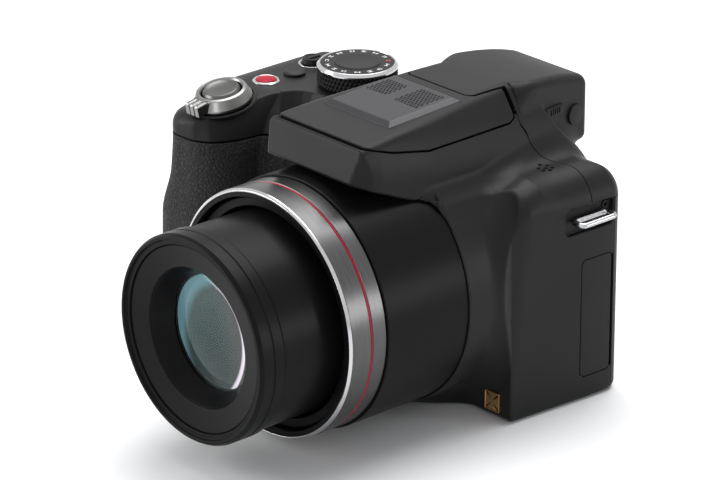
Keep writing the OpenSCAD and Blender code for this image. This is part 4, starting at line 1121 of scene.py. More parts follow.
@dataclass(frozen=True)
class Covers:
    """Covers, grip skin, flash lid and doors, all cut out of one skin."""

    form: Form = Form()
    seam: float = 52.0
    rear_seam: float = 16.0
    panel: tuple[float, float] = (11.3, -11.2)
    barrel_hole: float = 32.15
    lid_end: float = -0.3
    low: tuple[float, float, float] = (-87, -57, -2)
    high: tuple[float, float, float] = (37.5, 31, 81.5)
    fine: float = 0.55
    coarse: float = 1.0
    lid_line: tuple[tuple[float, float], ...] = (
        (-66, 76.2), (-50.4, 76.2), (-41.7, 73.4), (-30.3, 71.1), (-2.6, 70.8), (-0.7, 71.5), (0, 73.2),
        (0.2, 90), (-66, 90))
    top_line: tuple[tuple[float, float], ...] = (
        (-95, -45), (-46, -45), (-46, -5.2),
        (-19.6, -5.2), (-18.4, 0.6), (17, 0.6), (18, 2.2), (20.7, 3.8), (24, 6.5), (29, 8), (45, 8.5),
        (45, 35), (-95, 35))
    door: tuple[float, float, float, float] = (5.2, 6.4, 15.3, 37.9)
    hatch: tuple[float, float, float, float] = (-78.1, -27.3, -58.7, 7.3)

    def in_panel(self, x: Array, y: Array, z: Array) -> Array:
        """Return the distance inside the fixed panel behind the lid."""
        return np.minimum(-rounded_box(x, y, (-self.panel[0], self.panel[1]), (self.panel[0], 12), 1.8),
                          z - 66)

    def in_lid(self, x: Array, y: Array, z: Array) -> Array:
        """Return the distance inside the flash lid's zone."""
        return np.minimum(-region(y, z, self.lid_line), -self.in_panel(x, y, z))

    def in_leaf(self, x: Array, y: Array, z: Array) -> Array:
        """Return the distance inside the flash lid, which ends ahead of its hinge."""
        return np.minimum(self.in_lid(x, y, z), self.lid_end - y)

    def in_top(self, x: Array, y: Array, z: Array) -> Array:
        """Return the distance inside the top cover's zone."""
        seam = self.seam - 1.05 * ease((-48 - x) / 3) * ease((8 - y) / 5)
        plate = np.minimum(z - seam, -region(x, y, self.top_line))
        whole = np.maximum(plate, np.minimum(self.in_panel(x, y, z), 10 - y))
        eyepiece = np.maximum(rounded_box(x, z, (-9.0, 63.3), (9.0, 71.3), 2.0), 24 - y)
        return np.minimum(np.minimum(whole, -self.in_lid(x, y, z)), eyepiece)

    def in_rear(self, x: Array, y: Array, z: Array) -> Array:
        """Return the distance inside the rear cover's zone."""
        return np.minimum(y - self.rear_seam, self.seam - z)

    def in_rubber(self, x: Array, y: Array, z: Array) -> Array:
        """Return the distance inside the grip skin's zone."""
        across = meet(x + 51.0, y - 2.0, 2.0)
        return -meet(across, np.abs(z - 27.4) - 23.3, 1.5)

    def in_door(self, x: Array, y: Array, z: Array) -> Array:
        """Return the distance inside the terminal door's zone."""
        y0, z0, y1, z1 = self.door
        return np.minimum(-rounded_box(y, z, (y0, z0), (y1, z1), 1.4), x - 30)

    def in_hatch(self, x: Array, y: Array, z: Array) -> Array:
        """Return the distance inside the battery door's zone."""
        x0, y0, x1, y1 = self.hatch
        return np.minimum(-rounded_box(x, y, (x0, y0), (x1, y1), 1.5), 1.0 - z)

    def in_swing(self, x: Array, y: Array, z: Array) -> Array:
        """Return the distance inside the battery door, which clears its opening beside the hinge."""
        _, y0, x1, y1 = self.hatch
        ends = np.minimum(y - y0, y1 - y) - 0.7
        return np.minimum.reduce([self.in_hatch(x, y, z), x1 - 0.45 - x, np.maximum(ends, x1 - 3.0 - x)])

    def in_front(self, x: Array, y: Array, z: Array) -> Array:
        """Return the distance inside the front cover's zone: what no other piece takes."""
        barrel = np.maximum(self.form.lens_radius(x, z) - self.barrel_hole, y + 12)
        zones = (self.in_top, self.in_lid, self.in_rear, self.in_rubber, self.in_door, self.in_hatch)
        return np.minimum.reduce([barrel, 24 - y] + [-zone(x, y, z) for zone in zones])

    def build(self, palette: dict[Slot, bpy.types.Material]) -> None:
        """Cut and place the covers.

        Args:
            palette: the materials by slot.
        """
        skin = Level(self.low, self.high, self.fine).surface(self.form.field)
        LOG.info("skin: %d points", len(skin.points))
        plain, tight, lid = Trim(0.07, 0.12), Trim(0.1, 0.2), Trim(0.3, 0.3, backed=True)
        back = Trim(gap=0.12, edge=0.2, depth=1.4, backed=True)
        rows = ((plain, self.in_front, "front_shell", "body", Slot.BLACK, "front_cover"),
                (plain, self.in_top, "top_shell", "body", Slot.BLACK, "top_cover"),
                (plain, self.in_rear, "rear_shell", "body", Slot.BLACK, "rear_cover"),
                (tight, self.in_rubber, "grip_skin", "body", Slot.RUBBER, "grip_rubber"),
                (lid, self.in_leaf, "lid_shell", "flash", Slot.BLACK, "flash_lid"),
                (back, self.in_door, "door_shell", "terminal_door", Slot.BLACK, "terminal_door"),
                (back, self.in_swing, "hatch_shell", "battery_door", Slot.BLACK, "battery_door"))
        for trim, zone, name, body, slot, node in rows:
            trim.cut(skin, zone).piece(name, body, slot, palette[slot], [node])


@dataclass(frozen=True)
class Unit:
    """A sub-assembly with the materials that dress it."""

    palette: dict

    def add(self, patch: Patch, name: str, body: str, slot: Slot, *nodes: str,
            finish: Slot | str | None = None) -> None:
        """Dress a patch and place it.

        Args:
            patch: the surface.
            name: the piece's name.
            body: the body that it rides on.
            slot: the record's slot.
            nodes: the nodes of the frame that it stands for.
            finish: the palette's key of its finish, where that isn't the slot.
        """
        patch.piece(name, body, slot, self.palette[finish or slot], nodes)


# Lens


@dataclass(frozen=True)
class Ring:
    """One turned piece: a profile of distance from the axis and height, and its steps round."""

    name: str
    body: str
    slot: Slot
    profile: Outline | Dome
    sides: int
    nodes: tuple[str, ...] = ()
    finish: Slot | str | None = None


@dataclass(frozen=True)
class LensUnit(Unit):
    """Turned lens pieces on the lens axis; heights are distances in front of the tripod axis."""

    axis: Axis = Axis((0, 0, 33.7), (0, -1, 0))
    rings: tuple[Ring, ...] = (
        Ring("barrel_shell", "body", Slot.LENS, Outline((
            (29.4, 17, 0.2), (32, 17, 0.3), (32, 56.4, 0.3), (30.6, 56.4, 0.2), (30.6, 20, 0.2),
            (29.4, 20, 0.2))), 192, ("lens_barrel",)),
        Ring("trim_band", "body", Slot.TRIM, Outline((
            (29.3, 56.6, 0.1), (31.4, 56.6, 0.15), (31.4, 60.6, 0.1), (31.15, 60.75, 0.1),
            (31.15, 61.4, 0.1), (31.4, 61.5, 0.1), (31.4, 67.2, 0.1), (29.3, 67.2, 0.1))), 192,
            ("trim_ring",)),
        Ring("trim_lip", "body", Slot.CHROME, Outline((
            (30.55, 67.25, 0.05), (31.38, 67.25, 0.05), (31.3, 67.55, 0.1), (30.95, 68.0, 0.12),
            (30.55, 68.0, 0.1))), 192),
        Ring("trim_sleeve", "body", Slot.LENS, Outline((
            (29.3, 67.25, 0.05), (30.5, 67.25, 0.05), (30.5, 67.9, 0.1), (29.3, 67.9, 0.15))), 160),
        Ring("red_band", "body", Slot.RED, Outline((
            (31.0, 60.8, 0.1), (31.32, 60.8, 0.1), (31.32, 61.35, 0.1), (31.0, 61.35, 0.1))), 192,
            ("red_line",)),
        Ring("rear_tube", "zoom_rear", Slot.LENS, Outline((
            (27.2, 29, 0.2), (28.9, 29, 0.2), (28.9, 65.9, 0.5), (26.4, 65.9, 0.4), (26.4, 31, 0.2),
            (27.2, 31, 0.2))), 160, ("zoom_rear_barrel",)),
        Ring("front_tube", "zoom_front", Slot.LENS, Outline((
            (24.0, 44.1, 0.2), (25.6, 44.1, 0.3), (25.6, 83.3, 0.2), (24.0, 83.3, 0.2))), 160,
            ("zoom_front_barrel",)),
        Ring("front_rim", "zoom_front", Slot.BLACK, Outline((
            (22.3, 83.5, 0.1), (25.9, 83.5, 0.15), (26.2, 83.9, 0.15), (26.2, 86.6, 0.1),
            (25.95, 86.8, 0.1), (25.95, 87.1, 0.1), (26.2, 87.3, 0.1), (26.2, 90.2, 0.4), (25.6, 91.1, 0.4),
            (24.9, 91.1, 0.25), (24.5, 90.3, 0.2), (23.5, 90.3, 0.15), (23.3, 89.6, 0.1),
            (22.3, 89.4, 0.1))), 192, ("front_ring",), Slot.LENS),
        Ring("name_band", "zoom_front", Slot.LENS, Outline((
            (14.6, 83.2, 0.1), (22.2, 83.2, 0.1), (23.2, 89.9, 0.15), (17.7, 88.9, 0.25), (17.2, 88.2, 0.5),
            (14.9, 84.3, 0.5), (14.6, 83.8, 0.2))), 160, ("name_ring",)),
        Ring("lens_baffle", "zoom_front", Slot.LENS, Outline((
            (14.35, 80.2, 0.1), (15.4, 80.2, 0.1), (15.4, 83.1, 0.1), (14.35, 83.1, 0.1))), 96, (),
            Slot.DARK),
        # the inner glass disc carries painted sheen and painted reflection crescents
        Ring("inner_glass", "zoom_front", Slot.GLASS, Dome(14.25, 80.9, 82.9, 80.4), 96, (), "inner_glass"),
        Ring("front_glass", "zoom_front", Slot.GLASS, Dome(14.55, 86.4, 83.8, 83.4), 96, ("front_lens",)))

    def build(self) -> None:
        """Turn and place the lens pieces."""
        for ring in self.rings:
            turned = self.axis.revolve(ring.profile, ring.sides)
            self.add(turned, ring.name, ring.body, ring.slot, *ring.nodes, finish=ring.finish)


# Controls on the deck


def knurled(axis: Axis, radius: float, low: float, high: float, count: int, rows: float,
            depth: float) -> Patch:
    """Wrap rows of staggered studs round a line.

    In row k the radius is R - d + d c sin(pi q), where q runs from 0 to 1 over the row's height and c is
    the positive part of cos(n t), shifted by half a stud in every other row.

    Args:
        axis: the line.
        radius: R.
        low: the lower end.
        high: the upper end.
        count: the studs round it, n.
        rows: the rows of studs between the ends.
        depth: d.

    Returns:
        The knurled wall, closed by a flat ring at each end.
    """
    turn = np.linspace(0, 2 * math.pi, count * 8, endpoint=False)
    share = np.linspace(0, 1, int(rows * 8) + 1)
    s, t = np.meshgrid(share, turn, indexing="ij")
    row = np.minimum(np.floor(s * rows), rows - 1)
    stud = np.maximum(np.cos(count * t + math.pi * row), 0) * np.sin(math.pi * (s * rows - row))
    wall = axis.place(radius - depth + depth * stud, t, low + (high - low) * s)
    ends = [axis.place(0 * t[:1] + radius * 0.5, t[:1], 0 * t[:1] + h) for h in (low, high)]
    points = np.concatenate([ends[0], wall, ends[1]])
    normals = np.cross(np.gradient(points, axis=0), np.roll(points, -1, 1) - np.roll(points, 1, 1))
    level = np.zeros(points.shape[:2])
    out = axis.place(level + 1, level + turn, level) - np.array(axis.origin)
    normals *= np.sign(np.sum(normals[1:-1] * out[1:-1]))
    return Patch.grid(points, normals, False, True)


@dataclass(frozen=True)
class DeckControls(Unit):
    """Shutter button, zoom lever, record, burst and power controls and the mode dial."""

    shutter_at: tuple[float, float, float] = (-67.4, -23.0, 58.374)
    tilt: float = math.radians(12)
    record_at: tuple[float, float, float] = (-67.3, -8.6, 60.5)
    burst_at: tuple[float, float, float] = (-66.0, 0.0, 60.5)
    power_at: tuple[float, float, float] = (-69.0, 9.0, 60.5)
    dial_at: tuple[float, float, float] = (-49.7, 7.2, 60.5)
    lever_ribs: tuple[float, ...] = (-1.75, 0.0, 1.75)
    mark_count: int = 15
    mark_step: float = 24.0
    mark_start: float = 6.0
    mark_radius: float = 7.9
    accent: int = 2
    bars: tuple[tuple[tuple[float, float, float, float], ...], ...] = (
        ((-0.75, 0.0, 0.3, 1.0), (0.05, 0.35, 0.7, 0.28), (0.05, -0.35, 0.7, 0.28)),
        ((-0.6, 0.0, 0.28, 1.1), (0.6, 0.0, 0.28, 1.1), (0.0, 0.0, 0.9, 0.28)),
        ((0.0, 0.4, 1.3, 0.26), (0.0, -0.4, 1.3, 0.26), (0.0, 0.0, 0.3, 0.6)))

    def shutter(self) -> None:
        """Build the shutter button and the lever round it, on a line square to the sloping deck."""
        axis = Axis(self.shutter_at, (0, -math.sin(self.tilt), math.cos(self.tilt)))
        button = Outline(((0, -1.5, 0), (4.8, -1.5, 0.2), (5.0, 3.2, 0.7), (4.3, 4.0, 0.35),
                          (3.2, 3.75, 1.2), (0, 3.4, 0)), False)
        # the cap takes a darker copy of the satin silver as painted shade
        self.add(axis.revolve(button, 96), "shutter_cap", "shutter", Slot.SATIN, "shutter_button",
                 finish="button_metal")
        ring = Outline(((5.35, 0.4, 0.1), (7.7, 0.4, 0.15), (7.7, 1.1, 0.3), (6.55, 3.5, 0.35),
                        (5.75, 3.75, 0.2), (5.35, 3.2, 0.2)))
        tab = Outline(((-2.5, -9.95, 0.4), (2.5, -9.95, 0.4), (2.6, -5.9, 0.3), (-2.6, -5.9, 0.3)))
        edge = Outline(((0, 0.9, 0), (0, 3.3, 0.5), (-0.6, 3.6, 0.3)), False)
        lever = axis.revolve(ring, 128) + axis.prism(tab, edge)
        for x in self.lever_ribs:
            rib = Outline(((x - 0.76, -10.3, 0.3), (x + 0.76, -10.3, 0.3), (x + 0.76, -6.5, 0.2),
                           (x - 0.76, -6.5, 0.2)))
            lever = lever + axis.prism(rib, Outline(((0, 0.9, 0), (0, 3.5, 0.4), (-0.4, 3.85, 0.2)), False))
        self.add(lever, "lever_ring", "lever", Slot.SATIN, "zoom_lever")
        seat = Outline(((0, -0.35, 0), (8.15, -0.35, 0.1), (8.15, 0.28, 0.12), (8.5, 0.3, 0.1),
                        (8.8, -0.1, 0.1)),
                       False)
        self.add(axis.revolve(seat, 96), "lever_seat", "body", Slot.DARK)

    def buttons(self) -> None:
        """Build the record button in its rim, the burst button and the power switch."""
        up = (0.0, 0.0, 1.0)
        record, power = Axis(self.record_at, up), Axis(self.power_at, up)
        self.add(record.revolve(Dome(2.55, 0.95, 0.55, -1.0), 48), "record_cap", "record", Slot.RED,
                 "record_button")
        rim = Outline(((2.75, -0.5, 0.05), (3.6, -0.5, 0.05), (3.6, 0.1, 0.1), (3.2, 0.45, 0.2),
                       (2.75, 0.3, 0.1)))
        self.add(record.revolve(rim, 64), "record_bezel", "body", Slot.CHROME, "record_rim")
        cap = Outline(((0, -1.5, 0), (2.9, -1.5, 0.1), (2.9, 0.7, 0.3), (2.2, 1.0, 0.4), (0, 0.85, 0)),
                      False)
        self.add(Axis(self.burst_at, up).revolve(cap, 48), "burst_cap", "burst", Slot.DARK, "burst_button")
        knob = Outline(((0, 0.3, 0), (3.0, 0.3, 0.15), (2.7, 1.75, 0.3), (2.2, 1.85, 0.2), (1.9, 1.5, 0.2),
                        (0, 1.5, 0)), False)
        edge = Outline(((0, 1.2, 0), (0, 1.8, 0.15), (-0.2, 1.95, 0.1)), False)
        switch = power.revolve(knob, 48) + power.prism(Outline.box((-0.5, -2.0), (0.5, 2.0), 0.3), edge)
        self.add(switch, "power_knob", "power", Slot.DARK, "power_switch")
        arc = Outline(((3.25, -0.3, 0.05), (3.9, -0.3, 0.05), (3.85, 0.2, 0.1), (3.3, 0.2, 0.1)))
        self.add(power.revolve(arc, 64), "power_ring", "body", Slot.CHROME)

    def dial(self) -> None:
        """Build the mode dial: knurled wall, bright bevel, dark face and its marks."""
        axis = Axis(self.dial_at, (0, 0, 1))
        wall = knurled(axis, 10.5, 0.4, 5.0, 56, 4.0, 0.5)
        self.add(wall, "dial_knurl", "dial", Slot.DARK, "mode_dial")
        ring = Outline(((8.9, 4.9, 0.1), (10.5, 4.9, 0.1), (10.5, 5.35, 0.15), (9.9, 6.1, 0.2),
                        (9.6, 6.1, 0.1), (9.5, 5.9, 0.1), (8.9, 5.9, 0.1)))
        self.add(axis.revolve(ring, 128), "dial_bevel", "dial", Slot.CHROME)
        face = Outline(((0, 5.0, 0), (9.55, 5.0, 0.1), (9.55, 5.95, 0.1), (6.2, 6.02, 0.2),
                        (5.9, 6.3, 0.15), (5.2, 6.3, 0.3), (0, 5.95, 0)), False)
        self.add(axis.revolve(face, 96), "dial_face", "dial", Slot.DARK)
        white, accent = [], []
        for k in range(self.mark_count):
            (accent if k == self.accent else white).extend(self._mark(axis, k))
        self.add(sum(white[1:], white[0]), "dial_marks", "dial", Slot.SATIN, finish="mark_white")
        self.add(sum(accent[1:], accent[0]), "dial_accent", "dial", Slot.RED, finish="mark_red")

    def _mark(self, axis: Axis, k: int) -> list[Patch]:
        """Make one generic mark: a few short bars set in a block.

        Args:
            axis: the dial's line.
            k: its number, which gives its place round the face and picks the bars.

        Returns:
            The bars.
        """
        turn = math.radians(k * self.mark_step + self.mark_start)
        edge = Outline(((0, 5.85, 0), (0, 6.06, 0.02), (-0.03, 6.08, 0.01)), False, 3)
        local = Axis(axis.origin, axis.along, (math.cos(turn), math.sin(turn), 0))
        made = []
        for u, v, w, h in self.bars[k % len(self.bars)]:
            r = self.mark_radius + v
            plan = Outline.box((r - h / 2, u - w / 2), (r + h / 2, u + w / 2), 0.05, 2)
            made.append(local.prism(plan, edge))
        return made

    def build(self) -> None:
        """Build all the controls on the deck."""
        self.shutter()
        self.buttons()
        self.dial()


# Flash lid, side, rear and base


@dataclass(frozen=True)
class FlashUnit(Unit):
    """Microphone panel on the flash lid, and the well that the flash folds into."""

    panel: tuple[float, float, float, float] = (-11.9, 11.9, -38.0, -14.5)
    grilles: tuple[tuple[float, float, float, float], ...] = ((-9.8, -2.4, -26.4, -18.6),
                                                              (0.9, 9.2, -27.0, -17.2))
    top: float = 0.86
    base: float = 78.0
    slope: float = 0.048
    pitch: float = 1.05
    well_floor: float = 68.85

    def holes(self, x: Array, y: Array) -> Array:
        """Return the share of mesh hole at each place.

        The holes are diamonds |a| + |b| < w of a lattice whose every other row is shifted by half a pitch,
        inside the two grilles.

        Args:
            x: places across the panel.
            y: places along the panel.

        Returns:
            1 in a hole and 0 outside.
        """
        row = y / (self.pitch * 0.8)
        column = x / self.pitch + 0.5 * (np.floor(row) % 2)
        away = np.abs(column % 1 - 0.5) + np.abs(row % 1 - 0.5)
        within = [-rounded_box(x, y, (a, c), (b, d), 0.8) for a, b, c, d in self.grilles]
        return ease((0.46 - away) / 0.1) * ease(np.maximum(*within) / 0.1)

    def microphones(self) -> None:
        """Build the panel as a height over its plan: its top, four soft bevels and the holes, whose floors
        form a dark piece that paints the shade in the holes.
        """
        x0, x1, y0, y1 = self.panel
        x = np.concatenate([[x0], np.linspace(x0, x1, 180), [x1]])
        y = np.concatenate([[y0], np.linspace(y0, y1, 180), [y1]])
        x, y = np.meshgrid(x, y, indexing="ij")
        rise = np.minimum(np.minimum(x - x0, x1 - x), np.minimum(y - y0, y1 - y)) * 0.62 - 0.15
        high = (rise + self.top - np.hypot(rise - self.top, 0.1)) / 2
        hole = self.holes(x, y)
        high = high - 0.45 * hole
        high[[0, -1]], high[:, [0, -1]] = -1.6, -1.6
        z = self.base + self.slope * (y - (y0 + y1) / 2) + high
        whole = Patch.sheet(np.stack([x, y, z], -1), (0, 0, 1))
        # the hole floors go to a dark piece: painted shade for the depth of the holes
        dark = hole.ravel()[whole.quads].mean(1) > 0.5
        for name, slot, kept, nodes in (("mic_frame", Slot.GUNMETAL, ~dark, ["mic_panel"]),
                                        ("mic_mesh", Slot.DARK, dark, [])):
            self.add(Patch(whole.points, whole.normals, whole.quads[kept]).packed(), name, "flash", slot,
                     *nodes)

    def well(self, rim_line: Sequence[tuple[float, float]]) -> None:
        """Build the dark tray under the lid.

        Rings of one plan run down from the lid's parting line to the floor and in to its middle.

        Args:
            rim_line: the parting line as (y, z).
        """
        plan = Outline(((-14.4, -49.2, 2), (14.4, -49.2, 2), (15.6, -44, 1), (15.8, -2.4, 1.5),
                        (-15.8, -2.4, 1.5), (-15.6, -44, 1)))
        flat, out = plan.trace()
        line = np.array(rim_line)
        rim = np.interp(flat[:, 1], line[:, 0], line[:, 1]) - 0.8
        floor = np.full(len(flat), self.well_floor)
        middle = np.broadcast_to(flat.mean(0), flat.shape)
        rings = [(flat + 0.3 * out, rim - 0.4), (flat, rim), (flat, floor + 0.6), (flat - 0.5 * out, floor),
                 (middle, floor)]
        points = np.stack([np.concatenate([p, h[:, None]], 1) for p, h in rings])
        self.add(Patch.sheet(points, (0, 0, 1), wrap_v=True), "flash_well", "body", Slot.DARK)

    def build(self, rim_line: Sequence[tuple[float, float]]) -> None:
        """Build the panel and the well."""
        self.microphones()
        self.well(rim_line)


@dataclass(frozen=True)
class SideParts(Unit):
    """Strap loops, badge, finder controls, hinge pins and speaker holes."""

    wire: float = 0.75
    loops: tuple[tuple[str, tuple[float, float, float, float], float], ...] = (
        ("strap_lug_right", (34.1, 37.65, 2.25, 13.55), 48.75),
        ("strap_lug_left", (-84.85, -81.2, 3.55, 14.85), 47.25))
    side: tuple[float, float, float] = (0.995, 0.0995, 0.0)
    ribs: tuple[float, ...] = (-1.6, -0.8, 0.0, 0.8, 1.6)

    def strap_loops(self) -> None:
        """Carry a round wire along each loop."""
        wire = Outline.box((-self.wire, -self.wire), (self.wire, self.wire), self.wire)
        for node, (x0, x1, y0, y1), z in self.loops:
            loop = Axis((0, 0, z), (0, 0, 1)).rail(Outline.box((x0, y0), (x1, y1), 1.2, 8), wire)
            self.add(loop, node.replace("lug", "loop"), "body", Slot.STEEL, node)

    def badge(self) -> None:
        """Build the bare badge: a plate with a thin raised border."""
        plan = Outline.box((-2.6, -2.6), (2.6, 2.6), 0.5)
        edge = Outline(((0, 0, 0), (0, 1.25, 0.1), (-0.32, 1.25, 0.1), (-0.42, 1.08, 0.08),
                        (-0.8, 1.08, 0.05)), False)
        self.add(Axis((27, -16.3, 4.6), (0, -1, 0)).prism(plan, edge), "badge_face", "body", Slot.BRONZE,
                 "badge_plate")

    def finder_side(self) -> None:
        """Build the flash slider and the diopter wheel on the finder's side."""
        edge = Outline(((0, 0, 0), (0, 3.3, 0.3), (-0.35, 3.5, 0.15)), False)
        axis = Axis((12.0, 13.95, 69.45), self.side, (0, 1, 0))
        slider = axis.prism(Outline.box((-3.4, -1.1), (3.4, 1.1), 0.5), edge)
        for u in self.ribs:
            rib = Outline.box((u - 0.2, -0.8), (u + 0.2, 0.8), 0.1, 3)
            slider = slider + axis.prism(rib, Outline(((0, 3, 0), (0, 3.65, 0.05), (-0.05, 3.7, 0.02)),
                                                      False, 3))
        self.add(slider, "flash_catch", "slider", Slot.BLACK, "flash_slider")
        axis = Axis((13.66, 22.4, 66.2), self.side)
        wheel = knurled(axis, 2.75, -0.8, 0.85, 26, 1.0, 0.16) + axis.revolve(Dome(2.5, 1.0, 0.86, 0.3), 48)
        self.add(wheel, "diopter_knob", "diopter", Slot.DARK, "diopter_wheel")

    def pins(self) -> None:
        """Build the hinge pins of the lid and both doors."""
        runs = (((-9.2, -3, 76), (-1, 0, 0), 3.1, 1.15), ((9.2, -3, 76), (1, 0, 0), 3.1, 1.15),
                ((33.9, 6.3, 5.6), (0, 0, 1), 33.0, 0.35), ((-59.85, -28.2, 1.05), (0, 1, 0), 36.4, 0.55))
        whole = [Axis(a, w, (0.3, 0.5, 0.8)).revolve(Outline(((0, 0, 0), (r, 0, 0.15), (r, n, 0.15),
                                                              (0, n, 0)), False), 32)
                 for a, w, n, r in runs]
        self.add(sum(whole[1:], whole[0]), "hinge_pin_set", "body", Slot.STEEL, "hinge_pins")

    def speaker(self, form: Form) -> None:
        """Set seven small dark dishes on the shoulder: painted shade that stands for the speaker holes.

        Args:
            form: the covers' form, which seats each dish.
        """
        turn = np.radians(np.arange(6) * 60.0)
        spots = np.concatenate([[(0.0, 0.0)], 1.7 * np.stack([np.cos(turn), np.sin(turn)], -1)]) + (25.0,
                                                                                                    1.6)
        seats, normals = form.seat(np.column_stack([spots, np.full(7, 61.5)]))
        dish = Outline(((0, 0.03, 0), (0.4, 0.04, 0.02), (0.5, 0.05, 0.02), (0.55, -0.1, 0)), False, 3)
        whole = [Axis(tuple(p), tuple(n)).revolve(dish, 16) for p, n in zip(seats, normals)]
        # the dishes take a near-black matte finish: painted shade of the holes
        self.add(sum(whole[1:], whole[0]), "speaker_holes", "body", Slot.DARK, finish="hole_black")

    def build(self, form: Form) -> None:
        """Build the side parts."""
        self.strap_loops()
        self.badge()
        self.finder_side()
        self.pins()
        self.speaker(form)
        head = Outline(((0, 0.1, 0), (0.45, 0.1, 0.05), (0.6, 0.5, 0.1), (1.1, 0.5, 0.2), (1.2, -0.2, 0)),
                       False)
        self.add(Axis((33.2, 14.0, 50.3), (1, 0, 0), (0, 1, 0)).revolve(head, 32), "pocket_screw", "body",
                 Slot.DARK)


@dataclass(frozen=True)
class RearParts(Unit):
    """Display, keys, pad, thumb dial and eyepiece on the rear."""

    face: float = 20.0
    pad_at: tuple[float, float] = (-65.5, 22)
    keys: tuple[tuple[str, str, str, float, float, float], ...] = (
        ("play_key", "play", "play_button", -54, 38, 2.7),
        ("menu_key", "menu", "menu_button", -54, 8.5, 2.7),
        ("lock_key", "lock", "lock_button", -42, 55.25, 2.3),
        ("finder_key", "finder", "finder_button", -26, 55.25, 2.3))

    def at(self, x: float, z: float) -> Axis:
        """Return the line out of the rear face at a place."""
        return Axis((x, self.face, z), (0, 1, 0), (-1, 0, 0))

    @staticmethod
    def plate(half_u: float, half_v: float, r: float) -> Outline:
        """Return a rounded rectangle."""
        return Outline.box((-half_u, -half_v), (half_u, half_v), r, 7)

    def display(self) -> None:
        """Build the display's glass and the frame round it."""
        glass = Outline(((0, -1.9, 0), (0, 0.0, 0.15), (-0.25, 0.12, 0.08)), False)
        self.add(self.at(-9, 27).prism(self.plate(33.4, 22.9, 1.6), glass), "display_glass", "body",
                 Slot.SCREEN, "display_window")
        section = Outline(((0.1, -0.6, 0.05), (1.0, -0.6, 0.05), (0.75, 0.16, 0.12), (0.1, 0.18, 0.1)))
        self.add(self.at(-9, 27).rail(self.plate(33.4, 22.9, 1.6), section), "display_frame", "body",
                 Slot.DARK)

    def buttons(self) -> None:
        """Build the round keys, caps with a dished top, and the pad with its middle key."""
        for name, body, node, x, z, r in self.keys:
            cap = Outline(((0, -1.2, 0), (r, -1.2, 0.1), (r, 0.45, 0.25), (r * 0.8, 0.7, 0.3), (0, 0.6, 0)),
                          False)
            self.add(self.at(x, z).revolve(cap, 48), name, body, Slot.DARK, node)
        pad = Outline(((4.35, -1.0, 0.1), (9.0, -1.0, 0.1), (9.0, 0.5, 0.35), (8.2, 0.9, 0.3),
                       (6.0, 0.62, 1.0), (4.35, 0.8, 0.2)))
        x, z = self.pad_at
        self.add(self.at(x, z).revolve(pad, 96), "pad_ring", "pad", Slot.DARK, "cursor_pad")
        arrow = Outline(((6.4, -0.6, 0.05), (7.4, 0, 0.05), (6.4, 0.6, 0.05)), True, 3)
        edge = Outline(((0, 0.5, 0), (0, 0.86, 0.02), (-0.03, 0.88, 0.01)), False, 3)
        marks = []
        for quarter in range(4):
            turn = math.radians(90 * quarter)
            axis = Axis((x, self.face, z), (0, 1, 0), (math.cos(turn), 0, math.sin(turn)))
            marks.append(axis.prism(arrow, edge))
        self.add(sum(marks[1:], marks[0]), "pad_marks", "pad", Slot.SATIN, finish="mark_white")
        cap = Outline(((0, -1.2, 0), (4.0, -1.2, 0.1), (4.0, 0.85, 0.3), (3.3, 1.1, 0.3), (0, 0.95, 0)),
                      False)
        # the set key takes the same darker copy of the satin silver, painted shade
        self.add(self.at(x, z).revolve(cap, 64), "set_key", "set", Slot.SATIN, "set_button",
                 finish="button_metal")

    def thumb(self) -> None:
        """Build the knurled thumb dial."""
        axis = Axis((-66, 15.5, 47.6), (0, 0, 1))
        self.add(knurled(axis, 6.45, -1.7, 1.7, 44, 2.0, 0.22), "thumb_wheel", "thumb", Slot.DARK,
                 "thumb_dial")

    def eyepiece(self) -> None:
        """Build the soft eyecup, a lip carried round a rounded rectangle, and the eyepiece lens."""
        axis = Axis((0, 27, 67.3), (0, 1, 0), (-1, 0, 0))
        lip = Outline(((-1.3, -0.6, 0.2), (0.9, -0.6, 0.3), (1.0, 1.6, 0.7), (0.3, 2.6, 0.6),
                       (-0.7, 2.2, 0.6), (-1.2, 0.9, 0.4)))
        self.add(axis.rail(self.plate(9.35, 4.0, 2.4), lip), "eyecup_lip", "body", Slot.RUBBER, "eyecup")
        lens = Outline(((0, -2.1, 0), (0, -1.0, 0.2), (-0.5, -0.75, 0.3), (-2.5, -0.6, 0.5)), False)
        self.add(axis.prism(self.plate(7.8, 3.4, 1.2), lens), "eyepiece_glass", "body", Slot.GLASS,
                 "eyepiece_lens")

    def build(self) -> None:
        """Build the rear parts."""
        self.display()
        self.buttons()
        self.thumb()
        self.eyepiece()


